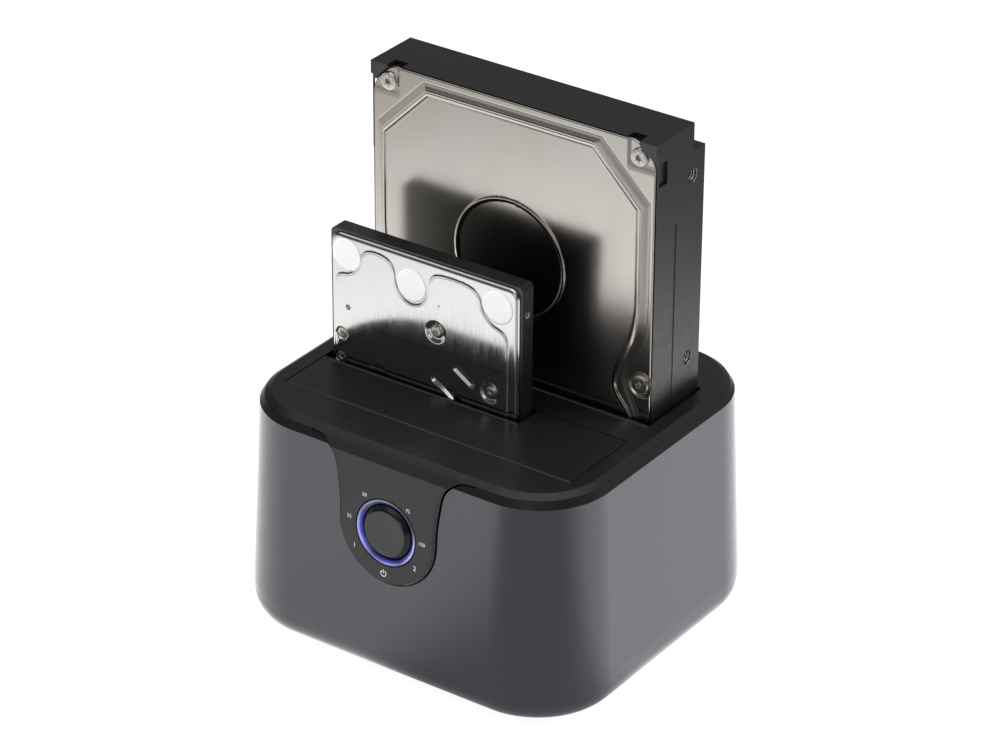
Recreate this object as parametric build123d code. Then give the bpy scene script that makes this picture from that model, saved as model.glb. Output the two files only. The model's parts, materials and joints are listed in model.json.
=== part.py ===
from build123d import *
import os
from math import atan2, copysign, cos, degrees, radians, sin, tan

# Hard drive docking station with a large and a small drive standing in its two bays.
# Millimetres. X runs right, Y runs to the back, Z runs up from the surface that the feet stand on.
# The origin is the middle of the footprint.

# Outer housing
side_margin = 8.3
front_margin = 16.9
back_margin = 22.7
crease_height = 73.8
crease_corner_radius = 24.0
wall_flare_degrees = 2.7
shell_wall = 2.2
rim_rise = 2.2
rim_inset = 1.5
cover_rise = 1.5
cover_inset = 2.1
cover_edge_thickness = 1.6
cover_gap = 0.15
cover_seam_gap = 0.1
plateau_edge_radius = 0.6
cut_overrun = 1.0

# Base tray and feet
foot_lift = 1.3
foot_recess = 0.8
foot_radius = 6.0
foot_recess_clearance = 0.2
foot_edge_inset = 23.0
seam_height = 12.8
base_floor = 2.5
base_bottom_radius = 8.0
lip_gap = 0.15
lip_thickness = 1.1
lip_rise = 1.2

# Screws that hold the housing together
screw_radius = 1.5
screw_pilot_clearance = 0.05
screw_hole_clearance = 0.2
screw_head_radius = 2.8
screw_head_height = 1.8
screw_head_clearance = 0.3
screw_recess_radius = 1.0
screw_recess_depth = 1.0
base_screw_length = 12.0
base_screw_seat = 6.2
shell_post_radius = 3.5
shell_post_reach = 15.0
shell_post_top = 18.0
post_joint_gap = 0.2
post_web = 2.0
cover_post_radius = 3.0
cover_post_reach = 18.5
cover_post_drop = 14.4
shell_tab_thickness = 3.0
cover_screw_length = 9.0

# Drives: the standard sizes of a large and a small hard drive
large_width = 101.6
large_thickness = 26.1
large_length = 147.0
large_plug_offset = 20.68
large_plug_to_board_side = 3.5
small_width = 69.85
small_thickness = 7.0
small_length = 100.2
small_plug_offset = 4.8
small_plug_to_board_side = 2.2

# Bays
drive_seat_height = 20.5
drive_seat_gap = 0.1
bay_side_clearance = 1.3
bay_front_clearance = 3.5
bay_back_clearance = 0.4
bay_bridge = 9.8
well_clearance = 0.2
well_wall = 1.5
well_floor = 1.6
well_ear_width = 8.0
well_ear_depth = 6.0
well_ear_thickness = 2.0
well_ear_drop = 5.0
well_ear_inset = 12.1
well_boss_radius = 2.2
well_screw_radius = 1.1
well_screw_length = 6.0
well_screw_head_radius = 2.0
well_screw_head_height = 1.2

# Flaps over the bays
flap_thickness = 2.0
flap_barrel_radius = 1.1
flap_pin_radius = 0.6
flap_pin_clearance = 0.06
flap_pin_bite = 2.7
flap_hinge_gap = 0.2
flap_edge_gap = 0.4
slot_depth = 11.2
slot_side_clearance = 1.1
small_flap_thickness = 1.4
small_barrel_radius = 0.9
small_pin_radius = 0.4
small_flap_hinge_gap = 0.2
small_flap_edge_gap = 0.3
small_lug_width = 1.4
small_pin_bite = 1.6

# Front tongue, light ring and button
tongue_radius = 17.3
tongue_drop = 23.8
tongue_proud = 1.2
tongue_thickness = 2.6
tongue_gap = 0.45
tongue_edge_bevel = 0.8
tongue_shoulder_width = 29.0
tongue_flank_shares = [(0.017, 0.655), (0.064, 0.42), (0.18, 0.151), (0.364, 0.038)]
ring_drop = 24.0
ring_outer_radius = 10.9
ring_inner_radius = 8.75
ring_clearance = 0.1
ring_proud = 0.15
ring_lip = 0.3
ring_funnel_depth = 0.9
ring_flange_radius = 12.2
ring_flange_thickness = 1.0
button_clearance = 0.25
button_proud = 0.7
button_foot_depth = 0.5
button_slope_width = 1.4
button_rim_width = 0.3
button_dish_depth = 0.25
button_depth = 4.8
button_flange_radius = 9.8
button_flange_thickness = 0.9
button_travel = 0.8
plunger_radius = 1.6
plunger_clearance = 0.12
plunger_bottom_gap = 0.3

# Button board behind the tongue
button_board_depth = 10.2
button_board_thickness = 1.2
button_board_width = 31.0
button_board_top = 15.0
button_board_bottom = 17.2
switch_side = 6.0
switch_height = 3.5
light_ring_radius = 10.0
light_side = 1.8
light_count = 8
light_height = 0.8
board_post_radius = 2.2
board_post_spread = 12.6
board_post_rise = 12.4
board_post_drop = 14.6
board_screw_radius = 0.9
board_screw_length = 5.0
board_screw_head_radius = 1.8
board_screw_head_height = 1.1

# Main board and what stands on it
board_side_inset = 18.4
board_front_inset = 17.7
board_back_inset = 2.3
board_thickness = 1.6
board_underside = 12.9
standoff_radius = 2.8
standoff_inset = 6.0
standoff_back_inset = 15.4
main_screw_length = 6.0
socket_half_length = 20.3
socket_half_width = 2.9
socket_rise = 4.6
socket_slot_clearance = 0.2
socket_foot_half_width = 4.2
socket_foot_height = 3.6
socket_floor_clearance = 0.6
tongue_blade_thickness = 1.23
data_blade_length = 10.2
power_blade_length = 20.4
blade_end = 16.5
blade_key_length = 1.9
blade_key_width = 1.2
plug_roof = 2.9
plug_end_gap = 0.3
plug_bay_half_length = 21.5
plug_bay_depth = 8.0
plug_end_wall = 0.8
plug_back_inset = 0.5
large_plug_bay_thickness = 8.4

# Rear ports
port_wall_gap = 0.4
usb_centre = 4.0
usb_width = 12.0
usb_height = 13.0
usb_length = 17.5
usb_wall = 0.7
usb_mouth_width = 8.5
usb_mouth_height = 7.8
usb_mouth_chamfer = 1.6
usb_upper_width = 5.8
usb_upper_height = 2.4
usb_tongue_width = 5.6
usb_tongue_height = 3.2
usb_mouth_depth = 9.0
port_clearance = 0.3
inlet_centre = 27.0
inlet_width = 9.0
inlet_height = 11.0
inlet_length = 13.5
inlet_bore_radius = 3.2
inlet_bore_depth = 9.5
inlet_pin_radius = 1.05
inlet_hole_radius = 4.4
power_centre = -20.0
power_body_side = 8.6
power_body_length = 12.0
power_cap_side = 6.6
power_cap_proud = 1.6
power_cap_clearance = 0.25
power_cap_bite = 3.0
power_cap_edge_radius = 0.6
power_travel = 1.4

# Small electronics
chip_height = 1.2
large_chip_side = 12.0
small_chip_side = 8.0
capacitor_radius = 3.15
capacitor_height = 7.2
capacitor_gap = 0.4
coil_side = 6.0
coil_height = 3.0
coil_edge_distance = 12.0
coil_spacing = 9.0
coil_edge_radius = 1.2
header_width = 14.0
header_depth = 3.0
header_height = 2.6
ribbon_width = 12.0
ribbon_thickness = 0.9
ribbon_bend_radius = 4.0
ribbon_plug_drop = 9.0
ribbon_gap = 0.1

# Large drive
large_lid_thickness = 0.8
large_lid_side_inset = 0.6
large_lid_top_inset = 0.4
large_lid_gap = 0.3
large_lid_bottom = 5.0
large_lid_corner_cut = 6.4
large_flange_depth = 1.0
large_panel_depth = 0.35
panel_half_width = 48.3
panel_top_inset = 3.2
panel_bottom = 17.0
panel_corner_cut = 17.2
panel_slope_width = 3.3
panel_rim_width = 1.3
panel_waist_height = 70.5
panel_waist_centre = 52.5
panel_waist_radius = 12.4
panel_waist_blend = 12.0
lid_disc_height = 95.6
lid_disc_radius = 19.2
lid_disc_bead = 1.5
lid_disc_bead_height = 0.25
large_screw_spread = 44.6
large_screw_top_inset = 5.5
large_screw_waist_spread = 46.6
large_screw_waist = 68.0
large_screw_bottom = 12.5
lid_screw_radius = 1.2
lid_screw_head_radius = 2.5
lid_screw_head_height = 1.1
lid_screw_sink = 0.5
lid_screw_dimple_radius = 3.3
lid_screw_length = 4.5
slope_share = 0.94
torx_radius = 0.8
torx_depth = 0.6
case_hook_height = 4.3
case_hook_width = 6.0
case_notch_inner = 40.1
case_notch_outer = 44.9
case_notch_depth = 4.6
case_notch_drop = 1.6
case_step_height = 9.0
case_step_depth = 6.1
side_pocket_low_inset = 14.0
side_pocket_high_inset = 6.5
side_pocket_back = 6.0
side_pocket_depth = 0.9
side_hole_radius = 1.75
side_hole_sink_radius = 2.3
side_hole_sink = 0.5
side_hole_depth = 5.0
large_side_hole_rise = 6.35
large_side_hole_low = 28.5
large_side_hole_middle = 70.1
large_side_hole_high_inset = 16.9
side_pad_reach = 11.8
side_pad_high_inset = 29.0
side_pad_depth = 0.2
large_board_recess = 2.4
large_board_thickness = 1.2
large_board_inset = 4.0
large_board_height = 88.0
large_board_shoulder = 26.0
large_board_gap = 0.4
motor_radius = 13.5
motor_height_place = 84.0
motor_ring_radius = 9.5
motor_ring_depth = 0.8
motor_gap = 0.4
motor_hub_gap = 0.5
motor_hub_sink = 0.2
motor_hub_bore = 2.4
board_screw_inset = 4.0
board_screw_shares = [(-1, 0.16), (1, 0.16), (-1, 0.94), (0.5, 0.93)]
drive_screw_radius = 0.9
drive_screw_length = 3.0
drive_screw_head_radius = 1.9
drive_screw_head_height = 0.8

# Small drive
small_lid_inset = 0.8
small_lid_corner_radius = 3.2
small_lid_skirt = 1.6
small_lid_bevel = 1.1
small_flange_width = 3.1
small_step_depth = 0.3
small_case_corner_radius = 1.6
seal_radius = 5.4
seal_thickness = 0.1
seal_margin = 0.6
dimple_radius = 4.2
dimple_depth = 0.7
small_screw_head_radius = 1.7
small_screw_head_height = 0.6
small_screw_radius = 0.8
small_screw_length = 3.0
breather_radius = 0.65
breather_shares = (0.103, 0.7535)
seal_shares = [(0.0938, 0.9271), (0.4395, 0.8972), (0.8855, 0.9192)]
dimple_shares = [(0.567, 0.7695), (0.849, 0.6287)]
edge_screw_shares = [(0.0659, 0.6577), (0.0558, 0.573), (0.0659, 0.0539), (0.9334, 0.0539), (0.9334, 0.459)]
small_side_hole_rise = 3.0
small_side_hole_low = 14.0
small_side_hole_high = 90.6
small_side_hole_radius = 1.25
small_side_hole_depth = 3.0
small_board_inset = 3.0
small_board_height = 46.0
small_board_recess = 1.6
small_board_thickness = 0.8
small_motor_radius = 9.0
small_motor_height_place = 66.0
slot_shares = [(0.6757, 0.6707), (0.753, 0.6357)]
slot_width = 2.3
slot_sink = 0.45
groove_shares = [(0.567, 0.6128), (0.67, 0.5669), (0.7301, 0.485)]
groove_width = 3.0

# Places worked out from the sizes above
panel_top = large_length - panel_top_inset
side_pocket_span = (large_length - side_pocket_low_inset, large_length - side_pocket_high_inset)
large_side_hole_high = large_length - large_side_hole_high_inset
large_side_hole_heights = (large_side_hole_low, large_side_hole_middle, large_side_hole_high)
flare = tan(radians(wall_flare_degrees))
bay_half_width = large_width / 2 + bay_side_clearance
bay_depth = bay_front_clearance + large_thickness + bay_back_clearance
crease_width = 2 * (bay_half_width + side_margin)
crease_depth = front_margin + bay_depth + bay_bridge + bay_depth + back_margin
cover_seam_height = crease_height + rim_rise
cover_top = cover_seam_height + cover_rise
cover_underside = cover_seam_height - cover_edge_thickness
cover_post_bottom = cover_underside - cover_post_drop
tongue_centre_height = cover_seam_height - tongue_drop
ring_centre_height = cover_seam_height - ring_drop
base_wall = shell_wall + lip_gap + lip_thickness
floor_top = foot_lift + base_floor
board_top = board_underside + board_thickness
board_half_width = crease_width / 2 - board_side_inset
board_front = board_front_inset - crease_depth / 2
board_back = crease_depth / 2 - board_back_inset
standoff_spread = board_half_width - standoff_inset
standoff_front = board_front + standoff_inset
standoff_back = board_back - standoff_back_inset
front_bay_front = front_margin - crease_depth / 2
front_bay_back = front_bay_front + bay_depth
rear_bay_front = front_bay_back + bay_bridge
rear_bay_back = rear_bay_front + bay_depth
rear_board_side = rear_bay_back - bay_back_clearance
front_board_side = front_bay_back - bay_back_clearance
well_ear_spread = bay_half_width - well_ear_inset
plug_x = -large_plug_offset
rear_plug_y = rear_board_side - large_plug_to_board_side
front_plug_y = front_board_side - large_plug_to_board_side
drive_bottom = drive_seat_height + drive_seat_gap
large_lid_y = rear_board_side - large_thickness
small_board_side = front_plug_y + small_plug_to_board_side
small_lid_y = small_board_side - small_thickness
small_left = plug_x + small_plug_offset - small_width / 2
small_right = small_left + small_width
slot_right = small_right + slot_side_clearance
corner_x = crease_width / 2 - crease_corner_radius
corner_y = crease_depth / 2 - crease_corner_radius
flap_axis_drop = flap_barrel_radius
flap_axis_inset = flap_hinge_gap + flap_barrel_radius
shell_post_x = corner_x + shell_post_reach * cos(radians(45))
shell_post_y = corner_y + shell_post_reach * sin(radians(45))
cover_post_x = corner_x + cover_post_reach * cos(radians(45))
cover_post_y = corner_y + cover_post_reach * sin(radians(45))
foot_x = crease_width / 2 - foot_edge_inset
foot_y = crease_depth / 2 - foot_edge_inset


def block(x_range, y_range, z_range):
    """A box between two values on each axis."""
    size = [high - low for low, high in (x_range, y_range, z_range)]
    middle = [(high + low) / 2 for low, high in (x_range, y_range, z_range)]
    return Pos(*middle) * Box(*size)


def rod(x, y, low, high, radius):
    """An upright cylinder from one height to another."""
    return Pos(x, y, (low + high) / 2) * Cylinder(radius, high - low)


def rod_x(low, high, y, z, radius):
    """A cylinder along X."""
    return Pos((low + high) / 2, y, z) * Rot(0, 90, 0) * Cylinder(radius, high - low)


def rod_y(x, low, high, z, radius):
    """A cylinder along Y."""
    return Pos(x, (low + high) / 2, z) * Rot(90, 0, 0) * Cylinder(radius, high - low)


def corners(x, y):
    """The four places that mirror each other about the middle."""
    return [(side_x * x, side_y * y) for side_x in (-1, 1) for side_y in (-1, 1)]


def wall_growth(height):
    """How far the flared wall stands outside the crease at a height."""
    return (crease_height - height) * flare


def plan(height, growth):
    """The rounded plan of the housing at a height, grown or shrunk all round."""
    width = crease_width + 2 * growth
    depth = crease_depth + 2 * growth
    return Pos(0, 0, height) * RectangleRounded(width, depth, crease_corner_radius + growth)


def flared(low, high, inset):
    """The housing's flared body between two heights, set in from its outer face."""
    return loft([plan(low, wall_growth(low) - inset), plan(high, wall_growth(high) - inset)], ruled=True)


def write(node, shape):
    """Save one piece as a STEP file."""
    solids = shape.solids() if hasattr(shape, "solids") else shape
    export_step(Compound(children=list(solids)) if len(solids) > 1 else solids[0], f"parts/{node}.step")
    print(f"{node}: {len(solids)} solids, {sum(s.volume for s in solids):.0f} cubic mm")


def pan_screw(radius, length, head_radius, head_height, recess_radius, recess_depth):
    """A screw along +Z: its head is below zero and its shank above."""
    head = Pos(0, 0, -head_height / 2) * Cylinder(head_radius, head_height)
    shank = Pos(0, 0, length / 2) * Cylinder(radius, length)
    recess = extrude(RegularPolygon(recess_radius, 6), recess_depth)
    return head + shank - Pos(0, 0, -head_height) * recess


# Front tongue outline
def tongue_outline(grow):
    """The tongue seen from the front, with its round end and flared shoulders."""
    radius = tongue_radius + grow
    centre = tongue_centre_height
    shoulder = (tongue_shoulder_width + grow, cover_seam_height - grow)
    flank = [(radius + out * tongue_radius, cover_seam_height - grow - down * tongue_drop)
             for out, down in tongue_flank_shares]
    points = [(radius, centre)] + flank + [shoulder]
    right = Spline(points, tangents=[(0, 1), (1, 0)])
    left = Spline([(-x, z) for x, z in points], tangents=[(0, 1), (-1, 0)])
    end = ThreePointArc((-radius, centre), (0, centre - radius), (radius, centre))
    top = cover_top + cut_overrun
    rim = Polyline(shoulder, (shoulder[0], top), (-shoulder[0], top), (-shoulder[0], shoulder[1]))
    return make_face([right, left, end, rim])


def front_facing(sketch, back):
    """Stand a flat outline up in the XZ plane and extrude it from the back value forwards."""
    depth = crease_depth
    return extrude(Plane(origin=(0, back, 0), x_dir=(1, 0, 0), z_dir=(0, -1, 0)) * sketch, depth)


def tongue_face_y(height):
    """The tongue's outer face at a height."""
    return -(crease_depth / 2 + wall_growth(height) + tongue_proud)


def button_plane():
    """The plane of the tongue's outer face at the ring's middle; its Z points out of the face."""
    centre = ring_centre_height
    normal = (0, -cos(radians(wall_flare_degrees)), sin(radians(wall_flare_degrees)))
    return Plane(origin=(0, tongue_face_y(centre), centre), x_dir=(1, 0, 0), z_dir=normal)


button_face = button_plane()


def behind_face(x, up, near, far, radius):
    """A cylinder square to the tongue's face, between two depths behind it."""
    return button_face * Pos(x, up, -(near + far) / 2) * Cylinder(radius, far - near)


def behind_block(x_range, up_range, near, far):
    """A box square to the tongue's face, between two depths behind it."""
    return button_face * block(x_range, up_range, (-far, -near))


# Outer shell
def make_outer_shell():
    shell = flared(seam_height, crease_height, 0)
    shell += loft([plan(crease_height, 0), plan(cover_seam_height, -rim_inset)], ruled=True)
    shell -= flared(seam_height - cut_overrun, cover_seam_height + cut_overrun, shell_wall)
    inside = flared(seam_height - cut_overrun, crease_height, shell_wall / 2)
    for x, y in corners(shell_post_x, shell_post_y):
        post = rod(x, y, seam_height - post_joint_gap, shell_post_top, shell_post_radius)
        post += corner_web(x, y, seam_height + lip_rise + post_joint_gap, shell_post_top, post_web)
        post -= rod(x, y, seam_height - cut_overrun, shell_post_top + cut_overrun,
                    screw_radius + screw_pilot_clearance)
        shell += post & inside
    for x, y in corners(cover_post_x, cover_post_y):
        low = cover_post_bottom - shell_tab_thickness
        tab = rod(x, y, low, cover_post_bottom, cover_post_radius)
        tab += corner_web(x, y, low, cover_post_bottom, 2 * cover_post_radius)
        tab -= rod(x, y, low - cut_overrun, cover_post_bottom + cut_overrun,
                   screw_radius + screw_hole_clearance)
        shell += tab & inside
    shell -= front_facing(tongue_outline(tongue_gap), -crease_depth / 2 + 2 * shell_wall)
    for window in port_windows():
        shell -= window
    return shell


def corner_web(x, y, low, high, width):
    """A web from a corner post out to the wall, on the corner's diagonal."""
    reach = crease_corner_radius
    web = Pos(reach / 2, 0, (low + high) / 2) * Box(reach, width, high - low)
    return Pos(x, y, 0) * Rot(0, 0, degrees(atan2(copysign(1, y), copysign(1, x)))) * web


def port_windows():
    """The cut-outs for the ports in the back wall."""
    near = crease_depth / 2 - shell_wall - cut_overrun
    far = crease_depth / 2 + wall_growth(seam_height) + cut_overrun
    usb_half = usb_width / 2 + port_clearance
    cap_half = power_cap_side / 2 + power_cap_clearance
    cap_middle = board_top + power_body_side / 2
    return [
        block((usb_centre - usb_half, usb_centre + usb_half), (near, far),
              (board_top - port_clearance, board_top + usb_height + port_clearance)),
        rod_y(inlet_centre, near, far, board_top + inlet_height / 2, inlet_hole_radius),
        block((power_centre - cap_half, power_centre + cap_half), (near, far),
              (cap_middle - cap_half, cap_middle + cap_half)),
    ]


# Base tray
def make_base_shell():
    growth = wall_growth(seam_height)
    body = extrude(plan(foot_lift, growth), seam_height - foot_lift)
    body = fillet(body.edges().group_by(Axis.Z)[0], base_bottom_radius)
    lip = extrude(plan(seam_height, growth - shell_wall - lip_gap), lip_rise)
    body += lip
    hollow = extrude(plan(floor_top, growth - base_wall), seam_height)
    hollow = fillet(hollow.edges().group_by(Axis.Z)[0], base_bottom_radius - base_wall)
    body -= hollow
    for x, y in corners(shell_post_x, shell_post_y):
        boss = rod(x, y, floor_top - cut_overrun, seam_height - 2 * post_joint_gap, shell_post_radius)
        boss += rod(x, y, floor_top - cut_overrun, base_screw_seat + base_floor,
                    screw_head_radius + screw_head_clearance + shell_wall)
        body += boss
        body -= rod(x, y, 0, base_screw_seat, screw_head_radius + screw_head_clearance)
        body -= rod(x, y, 0, seam_height, screw_radius + screw_hole_clearance)
    for x, y in corners(foot_x, foot_y):
        body -= rod(x, y, 0, foot_lift + foot_recess, foot_radius + foot_recess_clearance)
    for x, y in standoff_places():
        body += rod(x, y, floor_top - cut_overrun, board_underside, standoff_radius)
        body -= rod(x, y, floor_top, seam_height + lip_rise, board_screw_radius + screw_pilot_clearance)
    return body


def standoff_places():
    return [(side * standoff_spread, y) for side in (-1, 1) for y in (standoff_front, standoff_back)]


def make_feet():
    feet = Part()
    for x, y in corners(foot_x, foot_y):
        feet += rod(x, y, 0, foot_lift + foot_recess, foot_radius)
    return chamfer(feet.edges().group_by(Axis.Z)[0], foot_recess / 2)


def make_base_screws():
    screw = pan_screw(screw_radius, base_screw_length, screw_head_radius, screw_head_height,
                      screw_recess_radius, screw_recess_depth)
    return [Pos(x, y, base_screw_seat) * screw for x, y in corners(shell_post_x, shell_post_y)]


def make_cover_screws():
    screw = pan_screw(screw_radius, cover_screw_length, screw_head_radius, screw_head_height,
                      screw_recess_radius, screw_recess_depth)
    low = cover_post_bottom - shell_tab_thickness
    return [Pos(x, y, low) * screw for x, y in corners(cover_post_x, cover_post_y)]


# Top cover with its tongue
def make_top_cover():
    seam = cover_seam_height + cover_seam_gap
    plate = loft([plan(seam, -rim_inset), plan(cover_top, -rim_inset - cover_inset)], ruled=True)
    cover = fillet(plate.edges().group_by(Axis.Z)[-1], plateau_edge_radius)
    plug_growth = wall_growth(cover_seam_height) - shell_wall - cover_gap
    cover += extrude(plan(cover_underside, plug_growth), seam - cover_underside)
    for x, y in corners(cover_post_x, cover_post_y):
        cover += rod(x, y, cover_post_bottom, cover_underside + cut_overrun, cover_post_radius)
    for x, y in well_ear_places():
        cover += rod(x, y, cover_underside - well_ear_drop, cover_underside + cut_overrun, well_boss_radius)
        cover -= rod(x, y, cover_underside - well_ear_drop - cut_overrun, cover_underside,
                     well_screw_radius + screw_pilot_clearance)
    cover += make_tongue()
    for x, y in corners(cover_post_x, cover_post_y):
        cover -= rod(x, y, cover_post_bottom - cut_overrun, cover_underside - cut_overrun,
                     screw_radius + screw_pilot_clearance)
    for front, back in ((front_bay_front, front_bay_back), (rear_bay_front, rear_bay_back)):
        cover -= block((-bay_half_width, bay_half_width), (front, back),
                       (cover_underside - cut_overrun, cover_top + cut_overrun))
        reach = bay_half_width + flap_pin_bite
        cover -= rod_x(-reach, reach, front + flap_axis_inset, cover_top - flap_axis_drop,
                       flap_pin_radius + flap_pin_clearance)
    return cover


def make_tongue():
    """The tongue: a strip with the cover's own edge profile, cut to the outline."""
    crease_y = -(crease_depth / 2 + tongue_proud)
    seam_y = -(crease_depth / 2 - rim_inset)
    seam_z = cover_seam_height + cover_seam_gap
    slope_y = seam_y + cover_inset / 2
    slope_z = (seam_z + cover_top) / 2
    foot_z = tongue_centre_height - tongue_radius - cut_overrun
    root_y = slope_y + tongue_thickness
    strip = Polyline(
        (root_y, slope_z), (slope_y, slope_z), (seam_y, seam_z), (crease_y, crease_height),
        (tongue_face_y(foot_z), foot_z), (tongue_face_y(foot_z) + tongue_thickness, foot_z),
        (crease_y + tongue_thickness, crease_height - cover_rise), (root_y, cover_underside), close=True)
    tongue = extrude(Plane.YZ * make_face(strip), tongue_shoulder_width, both=True)
    tongue &= front_facing(tongue_outline(0), -crease_depth / 4)
    tongue = chamfer([edge for edge in tongue.edges() if on_tongue_face(edge)], tongue_edge_bevel)
    tongue -= behind_face(0, 0, -cut_overrun, tongue_thickness + cut_overrun,
                          ring_outer_radius + ring_clearance)
    for x, up in post_places():
        post = behind_face(x, up, tongue_thickness / 2, button_board_depth, board_post_radius)
        post -= behind_face(x, up, tongue_thickness, button_board_depth + cut_overrun,
                            board_screw_radius + screw_pilot_clearance)
        tongue += post
    return tongue


def on_tongue_face(edge):
    """Whether an edge runs round the outline on the tongue's outer face."""
    middle = edge @ 0.5
    near_face = abs(middle.Y - tongue_face_y(middle.Z)) < tongue_gap / 2
    below_crease = middle.Z < crease_height - tongue_gap
    level = abs((edge @ 0).Z - crease_height) < tongue_gap and abs((edge @ 1).Z - crease_height) < tongue_gap
    return near_face and below_crease and not level


def post_places():
    return [(-board_post_spread, board_post_rise), (board_post_spread, board_post_rise), (0, -board_post_drop)]


# Wells that guide the drives down to their sockets
def well_ear_places():
    front = front_bay_front - well_clearance - well_wall - well_ear_depth / 2
    back = rear_bay_back + well_clearance + well_wall + well_ear_depth / 2
    return [(side * well_ear_spread, y) for side in (-1, 1) for y in (front, back)]


def make_well(front, back, plug_y, ear_side):
    """A box without a lid that hangs from the cover by two ears, on its front or its back side."""
    half = bay_half_width + well_clearance
    low_y = front - well_clearance
    high_y = back + well_clearance
    bottom = drive_seat_height - well_floor
    well = block((-half - well_wall, half + well_wall), (low_y - well_wall, high_y + well_wall),
                 (bottom, cover_underside))
    well -= block((-half, half), (low_y, high_y), (drive_seat_height, cover_underside + cut_overrun))
    well -= block((plug_x - socket_half_length - socket_floor_clearance,
                   plug_x + socket_half_length + socket_floor_clearance),
                  (plug_y - socket_half_width - socket_floor_clearance,
                   plug_y + socket_half_width + socket_floor_clearance),
                  (bottom - cut_overrun, drive_seat_height + cut_overrun))
    wall = (low_y if ear_side < 0 else high_y) + ear_side * well_wall / 2
    top = cover_underside - well_ear_drop
    for x, y in well_ear_places():
        if y * ear_side > 0:
            well += block((x - well_ear_width / 2, x + well_ear_width / 2),
                          sorted((wall, y + ear_side * well_ear_depth / 2)), (top - well_ear_thickness, top))
            well -= rod(x, y, top - well_ear_thickness - cut_overrun, top + cut_overrun,
                        well_screw_radius + screw_hole_clearance)
    return well


def make_well_screws():
    screw = pan_screw(well_screw_radius, well_screw_length, well_screw_head_radius, well_screw_head_height,
                      torx_radius, torx_depth)
    low = cover_underside - well_ear_drop - well_ear_thickness
    return [Pos(x, y, low) * screw for x, y in well_ear_places()]


# Flaps, each made closed with its hinge axis at the origin and its plate running to +Y
def flap_profile(barrel, thickness, reach):
    plate = Pos(reach / 2, barrel - thickness / 2) * Rectangle(reach, thickness)
    return plate + Circle(barrel)


def make_large_flap():
    reach = bay_depth - flap_axis_inset - flap_edge_gap
    half = bay_half_width - flap_edge_gap
    flap = extrude(Plane.YZ * flap_profile(flap_barrel_radius, flap_thickness, reach), half, both=True)
    slot_y = bay_depth - slot_depth - flap_axis_inset
    flap -= block((-half - cut_overrun, slot_right), (slot_y, reach + cut_overrun),
                  (-cut_overrun - flap_thickness, cut_overrun + flap_thickness))
    small_axis_y = slot_y + small_flap_hinge_gap + small_barrel_radius
    small_axis_z = flap_barrel_radius - small_barrel_radius
    lug = extrude(Plane.YZ * Pos(small_axis_y, small_axis_z) * Circle(small_barrel_radius), small_lug_width)
    lug = Pos(-half, 0, 0) * lug
    lug += block((-half, -half + small_lug_width), (slot_y - cut_overrun, small_axis_y),
                 (small_axis_z - small_barrel_radius, flap_barrel_radius))
    flap += lug
    flap -= rod_x(-half - cut_overrun, slot_right + small_pin_bite, small_axis_y, small_axis_z,
                  small_pin_radius + flap_pin_clearance)
    return flap - rod_x(-half - cut_overrun, half + cut_overrun, 0, 0, flap_pin_radius + flap_pin_clearance)


def small_axis():
    """The small flap's axis, from the large flap's axis, while that one is closed."""
    slot_y = bay_depth - slot_depth - flap_axis_inset
    return slot_y + small_flap_hinge_gap + small_barrel_radius, flap_barrel_radius - small_barrel_radius


def make_small_flap():
    """The small flap on its own axis, closed."""
    reach = slot_depth - small_flap_hinge_gap - small_barrel_radius - flap_edge_gap
    left = -(bay_half_width - flap_edge_gap) + small_lug_width + small_flap_edge_gap / 2
    right = slot_right - small_flap_edge_gap
    profile = flap_profile(small_barrel_radius, small_flap_thickness, reach)
    flap = Pos(left, 0, 0) * extrude(Plane.YZ * profile, right - left)
    wide_left = -(bay_half_width - flap_edge_gap)
    past_lug = small_barrel_radius + small_flap_edge_gap
    flap += block((wide_left, left + cut_overrun), (past_lug, reach),
                  (small_barrel_radius - small_flap_thickness, small_barrel_radius))
    return flap - rod_x(left - cut_overrun, right + cut_overrun, 0, 0, small_pin_radius + flap_pin_clearance)


def make_small_pin():
    """The small flap's pin on its own axis."""
    left = -(bay_half_width - flap_edge_gap) + small_flap_edge_gap / 2
    return rod_x(left, slot_right + small_pin_bite - small_flap_edge_gap, 0, 0, small_pin_radius)


def make_flap_pin(front):
    reach = bay_half_width + flap_pin_bite - well_clearance
    return rod_x(-reach, reach, front + flap_axis_inset, cover_top - flap_axis_drop, flap_pin_radius)


def flap_place(front):
    return Pos(0, front + flap_axis_inset, cover_top - flap_axis_drop)


# Ring, button and the board behind them
def turned(points):
    """A profile of radius and height, turned about the button's axis and set on the tongue's face."""
    return button_face * revolve(Plane.XZ * make_face(Polyline(*points, close=True)), Axis.Z)


def make_light_ring():
    near = -tongue_thickness - ring_clearance
    far = -tongue_thickness - ring_flange_thickness
    return turned([(ring_inner_radius, far), (ring_flange_radius, far), (ring_flange_radius, near),
                   (ring_outer_radius, near), (ring_outer_radius, ring_proud),
                   (ring_outer_radius - ring_lip, ring_proud), (ring_inner_radius, -ring_funnel_depth)])


def make_copy_button():
    radius = ring_inner_radius - button_clearance
    near = -tongue_thickness - ring_flange_thickness - ring_clearance
    far = near - button_flange_thickness
    top_radius = radius - button_slope_width
    button = turned([(0, -button_depth), (radius, -button_depth), (radius, far), (button_flange_radius, far),
                     (button_flange_radius, near), (radius, near), (radius, -button_foot_depth),
                     (top_radius, button_proud), (0, button_proud)])
    dish_radius = top_radius - button_rim_width
    ball_radius = (dish_radius ** 2 + button_dish_depth ** 2) / (2 * button_dish_depth)
    ball = Pos(0, 0, button_proud - button_dish_depth + ball_radius) * Sphere(ball_radius)
    return button - button_face * ball


def make_tact_plunger():
    far = button_board_depth - plunger_bottom_gap - button_travel
    return behind_face(0, 0, button_depth, far, plunger_radius)


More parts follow.
